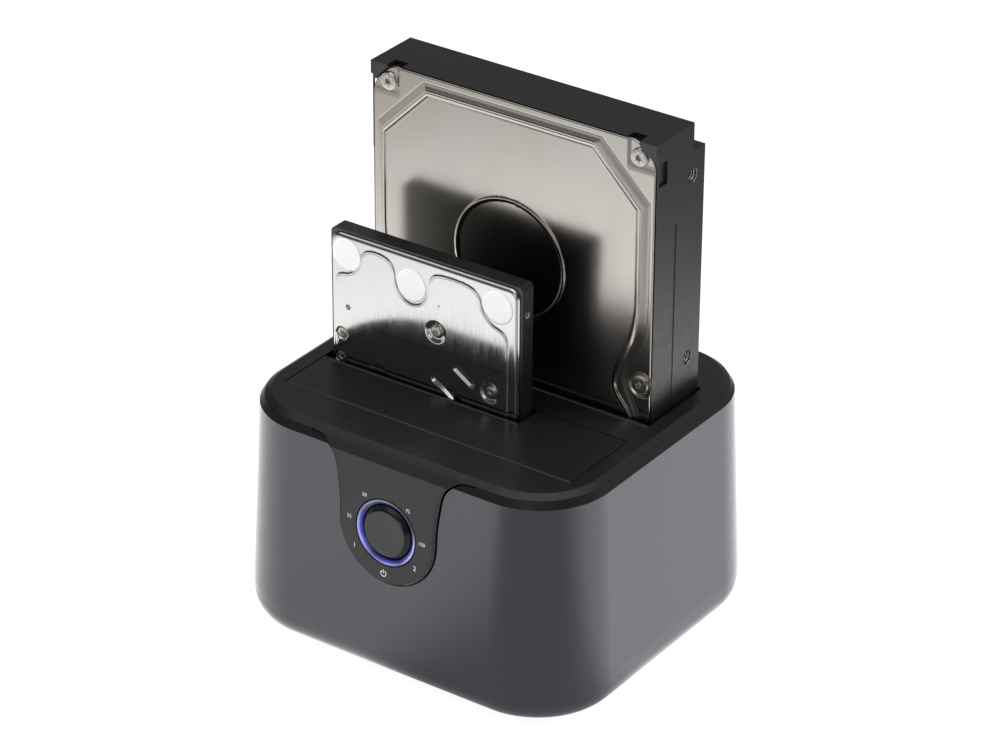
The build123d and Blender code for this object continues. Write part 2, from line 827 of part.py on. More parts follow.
def make_tact_switch():
    half = switch_side / 2
    switch = behind_block((-half, half), (-half, half), button_board_depth - switch_height, button_board_depth)
    return switch - behind_face(0, 0, 0, button_board_depth - plunger_bottom_gap / 2,
                                plunger_radius + plunger_clearance)


def make_button_board():
    half = button_board_width / 2
    board = behind_block((-half, half), (-button_board_bottom, button_board_top), button_board_depth,
                         button_board_depth + button_board_thickness)
    for x, up in post_places():
        board -= behind_face(x, up, button_board_depth - cut_overrun,
                             button_board_depth + button_board_thickness + cut_overrun,
                             board_screw_radius + screw_hole_clearance)
    return board


def make_button_board_screws():
    screw = pan_screw(board_screw_radius, board_screw_length, board_screw_head_radius, board_screw_head_height,
                      torx_radius, torx_depth)
    depth = button_board_depth + button_board_thickness
    return [button_face * Pos(x, up, -depth) * screw for x, up in post_places()]


def make_status_lights():
    lights = []
    half = light_side / 2
    for index in range(light_count):
        lamp = block((light_ring_radius - half, light_ring_radius + half), (-half, half),
                     (-button_board_depth, -button_board_depth + light_height))
        lights.append(button_face * Rot(0, 0, 360 * index / light_count) * lamp)
    return lights


# Main board, sockets and ports
def make_main_board():
    board = block((-board_half_width, board_half_width), (board_front, board_back), (board_underside, board_top))
    for x, y in standoff_places():
        board -= rod(x, y, board_underside - cut_overrun, board_top + cut_overrun,
                     board_screw_radius + screw_hole_clearance)
    return board


def make_board_screws():
    screw = pan_screw(board_screw_radius, main_screw_length, board_screw_head_radius, board_screw_head_height,
                      torx_radius, torx_depth)
    return [Pos(x, y, board_top) * Rot(180, 0, 0) * screw for x, y in standoff_places()]


def blade_spans():
    """The two blades of a drive's plug, as spans along X."""
    middle = plug_x
    return [(middle - blade_end, middle - blade_end + data_blade_length),
            (middle + blade_end - power_blade_length, middle + blade_end)]


def blades(plug_y, low, high, grow):
    """The L-shaped blades, or the slots that they enter when grown."""
    half = tongue_blade_thickness / 2
    shape = Part()
    for start, end in blade_spans():
        shape += block((start - grow, end + grow), (plug_y - half - grow, plug_y + half + grow), (low, high))
        shape += block((end - blade_key_width - grow, end + grow),
                       (plug_y - half - grow, plug_y - half + blade_key_length + grow), (low, high))
    return shape


def make_socket(plug_y):
    top = drive_seat_height + socket_rise
    socket = block((plug_x - socket_half_length, plug_x + socket_half_length),
                   (plug_y - socket_half_width, plug_y + socket_half_width), (board_top, top))
    socket += block((plug_x - socket_half_length, plug_x + socket_half_length),
                    (plug_y - socket_foot_half_width, plug_y + socket_foot_half_width),
                    (board_top, board_top + socket_foot_height))
    low = drive_bottom - plug_end_gap
    return socket - blades(plug_y, low, top + cut_overrun, socket_slot_clearance)


def port_front():
    """Where the ports end, just inside the back wall's outer face."""
    return crease_depth / 2 + wall_growth(board_top + usb_height) - port_wall_gap


def make_usb_port():
    front = port_front()
    low, high = board_top, board_top + usb_height
    half = usb_width / 2
    shell = block((usb_centre - half, usb_centre + half), (front - usb_length, front), (low, high))
    return shell - usb_mouth(front - usb_mouth_depth, front + cut_overrun)


def usb_mouth(near, far):
    """The mouth of a square port with its narrower upper step."""
    bottom = board_top + (usb_height - usb_mouth_height - usb_upper_height) / 2
    mouth = Pos(0, usb_mouth_height / 2) * Rectangle(usb_mouth_width, usb_mouth_height)
    mouth = chamfer(mouth.vertices().group_by(Axis.Y)[-1], usb_mouth_chamfer)
    mouth += Pos(0, usb_mouth_height + usb_upper_height / 2 - usb_wall / 2) * Rectangle(
        usb_upper_width, usb_upper_height + usb_wall)
    plane = Plane(origin=(usb_centre, far, bottom), x_dir=(1, 0, 0), z_dir=(0, -1, 0))
    return extrude(plane * mouth, far - near)


def make_usb_insert():
    front = port_front()
    bottom = board_top + (usb_height - usb_mouth_height - usb_upper_height) / 2
    middle = bottom + usb_mouth_height / 2
    half = usb_tongue_width / 2
    return block((usb_centre - half, usb_centre + half), (front - usb_mouth_depth, front - usb_wall),
                 (middle - usb_tongue_height / 2, middle + usb_tongue_height / 2))


def inlet_front():
    """The power inlet's face, behind the round hole in the back wall."""
    return crease_depth / 2 + wall_growth(board_top + inlet_height) - shell_wall - port_clearance


def make_power_inlet():
    front = inlet_front()
    middle = board_top + inlet_height / 2
    half = inlet_width / 2
    body = block((inlet_centre - half, inlet_centre + half), (front - inlet_length, front),
                 (board_top, board_top + inlet_height))
    return body - rod_y(inlet_centre, front - inlet_bore_depth, front + cut_overrun, middle, inlet_bore_radius)


def make_power_inlet_pin():
    front = inlet_front()
    middle = board_top + inlet_height / 2
    return rod_y(inlet_centre, front - inlet_bore_depth, front - inlet_pin_radius, middle, inlet_pin_radius)


def make_power_switch():
    front = inlet_front() - power_cap_bite
    half = power_body_side / 2
    body = block((power_centre - half, power_centre + half), (front - power_body_length, front),
                 (board_top, board_top + power_body_side))
    cap = power_cap_side / 2 + power_cap_clearance
    middle = board_top + half
    return body - block((power_centre - cap, power_centre + cap),
                        (front - power_cap_bite - power_travel, front + cut_overrun),
                        (middle - cap, middle + cap))


def make_power_button():
    base = inlet_front() - power_cap_bite
    middle = board_top + power_body_side / 2
    half = power_cap_side / 2
    outer = crease_depth / 2 + wall_growth(middle) + power_cap_proud
    near = base - power_cap_bite + plunger_bottom_gap
    cap = block((power_centre - half, power_centre + half), (near, outer),
                (middle - half, middle + half))
    return fillet(cap.edges().group_by(Axis.Y)[-1], power_cap_edge_radius)


def make_chips():
    """The bridge chip between the sockets and two smaller ones."""
    gap_middle = (front_bay_back + rear_bay_front) / 2
    places = [(0, gap_middle + large_chip_side / 2, large_chip_side),
              (2 * large_chip_side, gap_middle, small_chip_side),
              (0, standoff_front + small_chip_side, small_chip_side)]
    chips = []
    for x, y, side in places:
        chips.append(block((x - side / 2, x + side / 2), (y - side / 2, y + side / 2),
                           (board_top, board_top + chip_height)))
    return chips


def make_capacitors():
    """Upright capacitors in the free corner behind the rear well."""
    y = (rear_bay_back + board_back) / 2 + capacitor_radius / 2
    first = power_centre - power_body_side / 2 - capacitor_radius - capacitor_gap
    places = [(first - index * (2 * capacitor_radius + capacitor_gap), y) for index in range(2)]
    places.append((usb_centre - usb_width, y))
    return [rod(x, y_place, board_top, board_top + capacitor_height, capacitor_radius) for x, y_place in places]


def make_coils():
    """Power coils on the front part of the board, under the front well."""
    coils = []
    for index in range(2):
        x = board_half_width - coil_edge_distance - index * coil_spacing
        y = front_plug_y - 2 * coil_side
        coil = block((x - coil_side / 2, x + coil_side / 2), (y - coil_side / 2, y + coil_side / 2),
                     (board_top, board_top + coil_height))
        coils.append(fillet(coil.edges().filter_by(Axis.Z), coil_edge_radius))
    return coils


def ribbon_ends():
    """The back of the button board's plug, and the middle of the main board's plug."""
    depth = button_board_depth + button_board_thickness + header_depth
    start = button_face.from_local_coords(Vector(0, -ribbon_plug_drop, -depth))
    return start.Y, start.Z, board_front + header_depth


def make_ribbon():
    """The flat lead from the button board down to the main board, with one round bend."""
    start_y, start_z, end_y = ribbon_ends()
    run_y = start_y + ribbon_thickness / 2 + ribbon_gap
    low = board_top + header_height / 2
    path = FilletPolyline((run_y, start_z), (run_y, low), (end_y - header_depth / 2, low),
                          radius=ribbon_bend_radius)
    section = Plane(origin=(run_y, start_z, 0), x_dir=(1, 0, 0), z_dir=(0, -1, 0))
    return Plane.YZ * sweep(section * Rectangle(ribbon_thickness, ribbon_width), path=path)


def make_plugs():
    """The two plugs on the ribbon's ends, each seated on its board."""
    half = header_width / 2
    depth = button_board_depth + button_board_thickness
    upper = behind_block((-half, half), (-ribbon_plug_drop, -ribbon_plug_drop + header_height),
                         depth, depth + header_depth)
    start_y, start_z, end_y = ribbon_ends()
    lower = block((-half, half), (end_y - header_depth / 2, end_y + header_depth / 2),
                  (board_top, board_top + header_height))
    return [upper, lower]


# Large drive: its lid faces the front, its board the back, and its plug points down
def lid_outline(grow):
    """The lid of the large drive with its cut upper corners, grown all round."""
    half = large_width / 2 - large_lid_side_inset + grow
    low = large_lid_bottom - grow
    high = large_length - large_lid_top_inset + grow
    cut = large_lid_corner_cut + grow
    return make_face(Polyline((-half, low), (half, low), (half, high - cut), (half - cut, high),
                              (-half + cut, high), (-half, high - cut), close=True))


def facing_lid(sketch, near, far):
    """Stand an outline up in the drive and extrude it between two depths behind the lid's plane."""
    return extrude(Plane(origin=(0, far, 0), x_dir=(1, 0, 0), z_dir=(0, -1, 0)) * sketch, far - near)


def panel_outline():
    """The raised panel: an upright octagon with a round waist at either side for the middle screws."""
    half = panel_half_width
    cut = panel_corner_cut
    outline = make_face(Polyline(
        (-half + cut, panel_bottom), (half - cut, panel_bottom), (half, panel_bottom + cut),
        (half, panel_top - cut), (half - cut, panel_top), (-half + cut, panel_top),
        (-half, panel_top - cut), (-half, panel_bottom + cut), close=True))
    for side in (-1, 1):
        outline -= Pos(side * panel_waist_centre, panel_waist_height) * Circle(panel_waist_radius)
    waist = [v for v in outline.vertices() if abs(v.Y - panel_waist_height) < panel_waist_radius]
    return fillet(waist, panel_waist_blend)


def large_screw_places():
    return [(side * spread, height) for side in (-1, 1) for spread, height in (
        (large_screw_spread, large_length - large_screw_top_inset),
        (large_screw_waist_spread, large_screw_waist),
        (large_screw_spread, large_screw_bottom))]


large_lid_seat = large_flange_depth + large_lid_thickness
large_board_back = large_thickness - large_board_recess + large_board_thickness
lid_screw_seat = large_flange_depth + lid_screw_sink


def make_large_lid():
    lid = facing_lid(lid_outline(0), large_flange_depth, large_lid_seat)
    outline = panel_outline()
    panel = facing_lid(outline, 0, large_lid_seat)
    top_edges = [edge for edge in panel.edges()
                 if max(abs((edge @ t).Y) for t in (0, 1 / 2, 1)) < large_panel_depth / 2]
    panel = chamfer(top_edges, large_flange_depth * slope_share, panel_slope_width)
    lid += panel
    inner = offset(outline, amount=-panel_slope_width - panel_rim_width)
    lid -= facing_lid(inner, -cut_overrun, large_panel_depth)
    bead = facing_lid(Pos(0, lid_disc_height) * (Circle(lid_disc_radius + lid_disc_bead / 2)
                                                 - Circle(lid_disc_radius - lid_disc_bead / 2)),
                      large_panel_depth - lid_disc_bead_height, large_panel_depth)
    lid += bead
    for x, z in large_screw_places():
        lid -= rod_y(x, -cut_overrun, lid_screw_seat, z, lid_screw_dimple_radius)
        lid -= rod_y(x, 0, large_lid_seat + cut_overrun, z, lid_screw_radius + screw_hole_clearance)
    return lid


def make_large_screws():
    screw = pan_screw(lid_screw_radius, lid_screw_length, lid_screw_head_radius, lid_screw_head_height,
                      torx_radius, torx_depth)
    return [Pos(x, lid_screw_seat, z) * Rot(-90, 0, 0) * screw for x, z in large_screw_places()]


def large_board_outline(grow):
    """The board on the drive's back, with one cut shoulder and a round bite for the motor."""
    half = large_width / 2 - large_board_inset + grow
    low = plug_bay_depth + large_board_gap - grow
    high = large_board_height + grow
    outline = make_face(Polyline((-half, low), (half, low), (half, high - large_board_shoulder),
                                 (half - large_board_shoulder, high), (-half, high), close=True))
    return outline - Pos(0, motor_height_place) * Circle(motor_radius + motor_gap - grow)


def make_large_case():
    half = large_width / 2
    case = block((-half, half), (large_flange_depth, large_thickness), (0, large_length))
    case -= facing_lid(lid_outline(large_lid_gap), 0, large_lid_seat)
    for side in (-1, 1):
        hook = block(sorted((side * (half - case_hook_width), side * half)), (0, large_lid_seat + cut_overrun),
                     (large_length - case_hook_height, large_length))
        case += hook - facing_lid(lid_outline(large_lid_gap), -cut_overrun, large_lid_seat)
        case -= block(sorted((side * case_notch_inner, side * case_notch_outer)), (0, case_notch_depth),
                      (large_length - case_notch_drop, large_length + cut_overrun))
        case -= block(sorted((side * (half - side_pocket_depth), side * (half + cut_overrun))),
                      (large_lid_seat, side_pocket_back), side_pocket_span)
        case -= block(sorted((side * (half - side_pad_depth), side * (half + cut_overrun))),
                      (-cut_overrun, side_pad_reach), (-cut_overrun, large_length - side_pad_high_inset))
        for height in large_side_hole_heights:
            place = large_thickness - large_side_hole_rise
            for depth, radius in ((side_hole_depth, side_hole_radius), (side_hole_sink, side_hole_sink_radius)):
                near, far = sorted((side * (half - depth), side * (half + cut_overrun)))
                case -= rod_x(near, far, place, height, radius)
    case -= block((-half - cut_overrun, half + cut_overrun),
                  (large_thickness - case_step_depth, large_thickness + cut_overrun),
                  (large_length - case_step_height, large_length + cut_overrun))
    case -= facing_lid(large_board_outline(large_board_gap), large_thickness - large_board_recess,
                       large_thickness + cut_overrun)
    case -= rod_y(0, large_thickness - motor_ring_depth, large_thickness + cut_overrun, motor_height_place,
                  motor_ring_radius)
    case -= block((plug_x - plug_bay_half_length, plug_x + plug_bay_half_length),
                  (large_thickness - large_plug_bay_thickness, large_thickness + cut_overrun),
                  (-cut_overrun, plug_bay_depth))
    for x, z in large_screw_places():
        case -= rod_y(x, 0, lid_screw_seat + lid_screw_length + cut_overrun, z,
                      lid_screw_radius + screw_pilot_clearance)
    for x, z in board_screw_places():
        case -= rod_y(x, large_board_back - drive_screw_length - cut_overrun, large_thickness, z,
                      drive_screw_radius + screw_pilot_clearance)
    return case


def board_screw_places():
    """Where the large board is screwed down, from shares of half its width and of its height."""
    half = large_width / 2 - large_board_inset - board_screw_inset
    return [(across * half, up * large_board_height) for across, up in board_screw_shares]


def make_large_board():
    board = facing_lid(large_board_outline(0), large_board_back - large_board_thickness, large_board_back)
    for x, z in board_screw_places():
        board -= rod_y(x, large_board_back - large_board_thickness - cut_overrun,
                       large_board_back + cut_overrun, z, drive_screw_radius + screw_hole_clearance)
    return board


def make_large_board_screws():
    screw = pan_screw(drive_screw_radius, drive_screw_length, drive_screw_head_radius, drive_screw_head_height,
                      torx_radius, torx_depth)
    return [Pos(x, large_board_back, z) * Rot(90, 0, 0) * screw for x, z in board_screw_places()]


def make_motor_hub(back, height, x, ring_radius):
    """The motor's hub, seated in the round recess of a drive's back."""
    near = back - motor_ring_depth
    hub = rod_y(x, near, back - motor_hub_sink, height, ring_radius - motor_hub_gap)
    return hub - rod_y(x, near + motor_hub_sink, back, height, motor_hub_bore)


def make_plug(plug_y, front, back):
    """A drive's plug in its bay: a roof, two end walls and the two blades, in the dock's own frame."""
    low = drive_bottom + plug_bay_depth - plug_roof
    left = plug_x - plug_bay_half_length
    right = plug_x + plug_bay_half_length
    plug = block((left, right), (front, back), (low, drive_bottom + plug_bay_depth))
    for near, far in ((left, left + plug_end_wall), (right - plug_end_wall, right)):
        plug += block((near, far), (front, back), (drive_bottom + plug_end_gap, low))
    return plug + blades(plug_y, drive_bottom + plug_end_gap, low, 0)


def large_place():
    return Pos(0, large_lid_y, drive_bottom)


# Small drive
def small_outline(inset, corner):
    width = small_width - 2 * inset
    height = small_length - 2 * inset
    return Pos(small_width / 2, small_length / 2) * RectangleRounded(width, height, corner)


def make_small_lid():
    lid = facing_lid(small_outline(small_lid_inset, small_lid_corner_radius), small_step_depth, small_lid_skirt)
    lid = fillet(lid.faces().sort_by(Axis.Y)[0].edges(), small_lid_bevel)
    panel = small_outline(small_flange_width, small_lid_corner_radius)
    for x, z in seal_places:
        panel -= Pos(x, z) * Circle(seal_radius + seal_margin)
    lid += facing_lid(panel, 0, small_lid_skirt)
    for x, z in dimple_places:
        ball_radius = (dimple_radius ** 2 + dimple_depth ** 2) / (2 * dimple_depth)
        lid -= Pos(x, dimple_depth - ball_radius, z) * Sphere(ball_radius)
    for place in small_screw_places:
        x, z = place
        for far, radius in ((small_screw_seat(place), small_screw_head_radius),
                            (small_lid_skirt + cut_overrun, small_screw_radius)):
            lid -= rod_y(x, -cut_overrun, far, z, radius + screw_hole_clearance)
    x, z = on_small_lid(breather_shares)
    lid -= rod_y(x, -cut_overrun, dimple_depth, z, breather_radius)
    slot = trace(Line(*[on_small_lid(shares) for shares in slot_shares]), slot_width)
    groove = trace(ThreePointArc(*[on_small_lid(shares) for shares in groove_shares]), groove_width)
    return lid - facing_lid(slot + groove, -cut_overrun, slot_sink)


def on_small_lid(shares):
    """A place on the small lid from its shares of the drive's width and length."""
    return shares[0] * small_width, shares[1] * small_length


seal_places = [on_small_lid(shares) for shares in seal_shares]
dimple_places = [on_small_lid(shares) for shares in dimple_shares]
edge_screw_places = [on_small_lid(shares) for shares in edge_screw_shares]
small_screw_places = edge_screw_places + dimple_places


def small_screw_seat(place):
    """How deep a screw's head seats behind the lid's plane."""
    return dimple_depth if place in dimple_places else dimple_depth + small_step_depth


def make_small_screws():
    screw = pan_screw(small_screw_radius, small_screw_length, small_screw_head_radius, small_screw_head_height,
                      torx_radius, torx_depth * small_screw_head_height)
    return [Pos(place[0], small_screw_seat(place), place[1]) * Rot(-90, 0, 0) * screw
            for place in small_screw_places]


def make_small_seals():
    return [rod_y(x, small_step_depth - seal_thickness, small_step_depth, z, seal_radius)
            for x, z in seal_places]


def small_board_outline(grow):
    low = plug_bay_depth + large_board_gap - grow
    high = small_board_height + grow
    left = small_board_inset - grow
    return Pos(small_width / 2, (low + high) / 2) * Rectangle(small_width - 2 * left, high - low)


def make_small_case():
    case = facing_lid(small_outline(0, small_case_corner_radius), small_lid_skirt, small_thickness)
    local_plug = plug_x - small_left
    case -= block((local_plug - plug_bay_half_length, local_plug + plug_bay_half_length),
                  (small_lid_skirt, small_thickness + cut_overrun), (-cut_overrun, plug_bay_depth))
    case -= facing_lid(small_board_outline(large_board_gap), small_thickness - small_board_recess,
                       small_thickness + cut_overrun)
    case -= rod_y(small_width / 2, small_thickness - motor_ring_depth, small_thickness + cut_overrun,
                  small_motor_height_place, small_motor_radius)
    for low, high in ((-cut_overrun, small_side_hole_depth), (small_width - small_side_hole_depth,
                                                             small_width + cut_overrun)):
        for height in (small_side_hole_low, small_side_hole_high):
            case -= rod_x(low, high, small_thickness - small_side_hole_rise, height, small_side_hole_radius)
    for place in small_screw_places:
        case -= rod_y(place[0], 0, small_screw_seat(place) + small_screw_length + small_step_depth, place[1],
                      small_screw_radius + screw_pilot_clearance)
    return case


def make_small_board():
    front = small_thickness - small_board_recess
    return facing_lid(small_board_outline(0), front, front + small_board_thickness)


def small_place():
    return Pos(small_left, small_lid_y, drive_bottom)


# Save every piece
os.makedirs("parts", exist_ok=True)
write("outer_shell", make_outer_shell())
write("base_shell", make_base_shell())
write("rubber_feet", make_feet())
write("base_screws", make_base_screws())
write("cover_screws", make_cover_screws())
write("top_cover", make_top_cover())
write("front_bay_well", make_well(front_bay_front, front_bay_back, front_plug_y, -1))
write("rear_bay_well", make_well(rear_bay_front, rear_bay_back, rear_plug_y, 1))
write("well_screws", make_well_screws())
write("main_board", make_main_board())
write("main_board_screws", make_board_screws())
write("board_chips", make_chips())
write("capacitors", make_capacitors())
write("power_coils", make_coils())
write("front_drive_socket", make_socket(front_plug_y))
write("rear_drive_socket", make_socket(rear_plug_y))
write("usb_port", make_usb_port())
write("usb_port_insert", make_usb_insert())
write("power_inlet", make_power_inlet())
write("power_inlet_pin", make_power_inlet_pin())
write("power_switch", make_power_switch())
write("power_button", make_power_button())
write("button_board", make_button_board())
write("button_board_screws", make_button_board_screws())
write("status_lights", make_status_lights())
write("tact_switch", make_tact_switch())
write("tact_plunger", make_tact_plunger())
write("light_ring", make_light_ring())
write("copy_button", make_copy_button())
write("ribbon_lead", make_ribbon())
write("ribbon_plugs", make_plugs())

closed_flap = make_large_flap()
closed_small_flap = make_small_flap()
small_pin = make_small_pin()
small_y, small_z = small_axis()
hang = Rot(-90, 0, 0)
front_hinge = flap_place(front_bay_front)
rear_hinge = flap_place(rear_bay_front)
write("front_flap", front_hinge * closed_flap)
write("front_flap_pin", make_flap_pin(front_bay_front))
write("front_small_flap", front_hinge * Pos(0, small_y, small_z) * hang * closed_small_flap)
write("front_small_flap_pin", front_hinge * Pos(0, small_y, small_z) * small_pin)
write("rear_flap", rear_hinge * hang * closed_flap)
write("rear_flap_pin", make_flap_pin(rear_bay_front))
write("rear_small_flap", rear_hinge * hang * Pos(0, small_y, small_z) * closed_small_flap)
write("rear_small_flap_pin", rear_hinge * hang * Pos(0, small_y, small_z) * small_pin)

write("large_drive_case", large_place() * make_large_case())
write("large_drive_lid", large_place() * make_large_lid())
write("large_drive_screws", [large_place() * screw for screw in make_large_screws()])
write("large_drive_board", large_place() * make_large_board())
write("large_board_screws", [large_place() * screw for screw in make_large_board_screws()])
write("large_drive_motor", large_place() * make_motor_hub(large_thickness, motor_height_place, 0, motor_ring_radius))
write("large_drive_plug", make_plug(rear_plug_y, rear_board_side - large_plug_bay_thickness,
                                    rear_board_side - plug_back_inset))
write("small_drive_case", small_place() * make_small_case())
write("small_drive_lid", small_place() * make_small_lid())
write("small_drive_screws", [small_place() * screw for screw in make_small_screws()])
write("small_drive_seals", [small_place() * seal for seal in make_small_seals()])
write("small_drive_board", small_place() * make_small_board())
write("small_drive_motor", small_place() * make_motor_hub(small_thickness, small_motor_height_place, small_width / 2,
                                                          small_motor_radius))
write("small_drive_plug", make_plug(front_plug_y, small_lid_y + small_lid_skirt,
                                    small_board_side - plug_back_inset))
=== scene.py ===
# %% [markdown]
# # A hard drive docking station
# A dock is a small desk machine: two hard drives stand upright in its bays, and a lit button at the
# front copies one to the other. Its solids come ready made from CAD. This lesson gives them their
# finishes, and builds in Blender the few pieces whose looks depend on a smooth or stamped surface:
# the two lids, the seals, the lid screws, the button, its ring of light and the printed marks.

# %% Load the solids
import json
from math import cos, pi, radians, sin, sqrt, tan

import bmesh
import bpy
import numpy as np
from mathutils import Matrix, Vector

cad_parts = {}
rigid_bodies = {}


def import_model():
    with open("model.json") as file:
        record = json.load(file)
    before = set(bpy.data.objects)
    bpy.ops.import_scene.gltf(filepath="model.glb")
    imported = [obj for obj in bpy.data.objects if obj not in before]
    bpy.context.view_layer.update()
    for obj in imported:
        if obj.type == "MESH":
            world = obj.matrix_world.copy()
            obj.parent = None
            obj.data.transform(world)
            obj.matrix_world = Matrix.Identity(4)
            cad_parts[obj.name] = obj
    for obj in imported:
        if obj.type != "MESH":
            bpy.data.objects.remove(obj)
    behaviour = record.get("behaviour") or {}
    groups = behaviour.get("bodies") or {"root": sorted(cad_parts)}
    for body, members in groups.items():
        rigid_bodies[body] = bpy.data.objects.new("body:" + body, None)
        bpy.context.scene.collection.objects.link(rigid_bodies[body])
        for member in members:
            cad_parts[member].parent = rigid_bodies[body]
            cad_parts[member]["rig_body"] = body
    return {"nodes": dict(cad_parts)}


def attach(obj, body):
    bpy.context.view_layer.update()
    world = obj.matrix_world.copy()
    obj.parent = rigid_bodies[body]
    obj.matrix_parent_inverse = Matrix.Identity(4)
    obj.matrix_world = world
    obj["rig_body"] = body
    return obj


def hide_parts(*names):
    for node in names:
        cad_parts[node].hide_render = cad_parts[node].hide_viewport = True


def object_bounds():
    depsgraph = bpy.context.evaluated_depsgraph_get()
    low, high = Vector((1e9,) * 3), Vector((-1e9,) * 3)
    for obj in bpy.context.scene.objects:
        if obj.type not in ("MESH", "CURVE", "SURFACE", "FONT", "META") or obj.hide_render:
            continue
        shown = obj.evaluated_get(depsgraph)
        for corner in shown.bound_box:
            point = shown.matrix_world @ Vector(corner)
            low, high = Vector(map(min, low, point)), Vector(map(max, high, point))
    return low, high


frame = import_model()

cad_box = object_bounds()
nodes = frame["nodes"]
mm = 0.001
low_corner, high_corner = [[round(value / mm, 1) for value in corner] for corner in cad_box]
print(f"{len(nodes)} solids, box {low_corner} to {high_corner} mm")

# %% [markdown]
# ## The camera
# The photograph was taken from the right, looking down. The lens is long, so the dock's edges stay
# almost parallel. The three axes of a Blender camera are its picture's right and up directions and
# the direction back from the picture, so a matrix with those columns aims it without any guessing.

# %% Aim the camera
camera_place = Vector((623.55, -889.85, 678.35)) * mm
camera_azimuth = radians(34.99)
camera_elevation = radians(28.86)
camera_roll = radians(0.38)
camera_lens = 148.86
camera_sensor = 36
camera_reach = 100

towards_camera = Vector((sin(camera_azimuth), -cos(camera_azimuth), 0))
back = towards_camera * cos(camera_elevation) + Vector((0, 0, sin(camera_elevation)))
level = Vector((cos(camera_azimuth), sin(camera_azimuth), 0))
upward = back.cross(level)
right = level * cos(camera_roll) + upward * sin(camera_roll)
upward = upward * cos(camera_roll) - level * sin(camera_roll)
camera = bpy.data.objects.new("camera", bpy.data.cameras.new("camera"))
bpy.context.scene.collection.objects.link(camera)
camera.matrix_world = Matrix.Translation(camera_place) @ Matrix((right, upward, back)).transposed().to_4x4()
camera.data.lens = camera_lens
camera.data.sensor_width = camera_sensor
camera.data.clip_end = camera_reach
bpy.context.scene.camera = camera
bpy.context.scene.view_settings.view_transform = "Standard"
print(f"camera {camera_place.length:.2f} m away with a {camera_lens:.0f} mm lens")

# %% [markdown]
# ## The studio
# Polished black plastic has hardly any colour of its own: what shows on it is its surroundings.
# Seen from above, the upright walls mirror the pale table, and the flat top mirrors the dim wall
# behind. So the table glows a little for the camera and for reflections, which keeps it white with
# a soft shadow. The sky is dim at the horizon and brighter overhead, with a faint glow behind the
# dock and one small bright card in front of it, which the dimples of the steel lids pick up.
#
# In reflections the table is a pool of light. It fades with distance and towards the back right, and
# that shades the side of the tall drive from light below to dark above. It also fades towards the
# camera, and that draws the dark stripe down the housing's rounded corner. Real lamps and cards could
# do the same, but a pattern on the table is easier to fit to a photograph, value by value.

# %% Small helpers for shader nodes
def add_node(tree, kind, **settings):
    """A new node with its settings; a setting whose name is an input's name sets that input."""
    node = tree.nodes.new(kind)
    for name, value in settings.items():
        if hasattr(node, name):
            setattr(node, name, value)
        else:
            node.inputs[name.replace("_", " ")].default_value = value
    return node


def new_finish(name):
    """An empty material with its principled shader, ready for more nodes."""
    material = bpy.data.materials.new(name)
    material.use_nodes = True
    tree = material.node_tree
    return material, tree, tree.nodes["Principled BSDF"]


def set_shader(shader, color, roughness, metallic=0.0, ior=1.5, coat=0.0):
    """The values that are the same all over a finish."""
    shader.inputs["Base Color"].default_value = (*color, 1)
    shader.inputs["Roughness"].default_value = roughness
    shader.inputs["Metallic"].default_value = metallic
    shader.inputs["IOR"].default_value = ior
    shader.inputs["Coat Weight"].default_value = coat


def object_noise(tree, scale, detail=3.0, stretch=(1, 1, 1)):
    """Noise that stays on the piece, with its size in repeats to the metre."""
    place = tree.nodes.new("ShaderNodeTexCoord")
    turn = tree.nodes.new("ShaderNodeMapping")
    turn.inputs["Scale"].default_value = stretch
    noise = tree.nodes.new("ShaderNodeTexNoise")
    noise.inputs["Scale"].default_value = scale
    noise.inputs["Detail"].default_value = detail
    tree.links.new(place.outputs["Object"], turn.inputs["Vector"])
    tree.links.new(turn.outputs["Vector"], noise.inputs["Vector"])
    return noise.outputs["Fac"]


def spread(tree, source, low, high):
    """Stretch a 0 to 1 pattern over a range of values."""
    node = tree.nodes.new("ShaderNodeMapRange")
    node.inputs["From Min"].default_value = 0.3
    node.inputs["From Max"].default_value = 0.7
    node.inputs["To Min"].default_value = low
    node.inputs["To Max"].default_value = high
    tree.links.new(source, node.inputs["Value"])
    return node.outputs["Result"]


def add_grain(tree, shader, height, depth, strength=1.0):
    """Bump from a height pattern, with the real depth of the grain."""
    bump = tree.nodes.new("ShaderNodeBump")
    bump.inputs["Distance"].default_value = depth
    bump.inputs["Strength"].default_value = strength
    tree.links.new(height, bump.inputs["Height"])
    tree.links.new(bump.outputs["Normal"], shader.inputs["Normal"])
    return bump


# %% The table
floor_radius = 15.0
floor_glow_share = 0.84
floor_glow = 1.12
near_reach, far_reach, far_share = 0.2, 0.42, 0.3
away_near, away_far, away_share = 0.2, 0.33, 0.08
facing_low, facing_high, facing_share = 0.62, 0.93, 0.3

edit = bmesh.new()
bmesh.ops.create_circle(edit, cap_ends=True, segments=64, radius=floor_radius)
floor_mesh = bpy.data.meshes.new("table")
edit.to_mesh(floor_mesh)
edit.free()
floor = bpy.data.objects.new("table", floor_mesh)
bpy.context.scene.collection.objects.link(floor)

paper, paper_tree, paper_shader = new_finish("table_paper")
set_shader(paper_shader, (0.86, 0.86, 0.87), 0.8)
paper_shader.inputs["Specular IOR Level"].default_value = 0.1
print("a pale table", floor_radius, "m in radius")


# %% Helpers for values between nodes
def ranged(tree, source, low, high, at_low, at_high):
    """A value carried smoothly from one range to another."""
    node = add_node(tree, "ShaderNodeMapRange", interpolation_type="SMOOTHSTEP")
    for name, value in (("From Min", low), ("From Max", high), ("To Min", at_low), ("To Max", at_high)):
        node.inputs[name].default_value = value
    tree.links.new(source, node.inputs["Value"])
    return node.outputs["Result"]


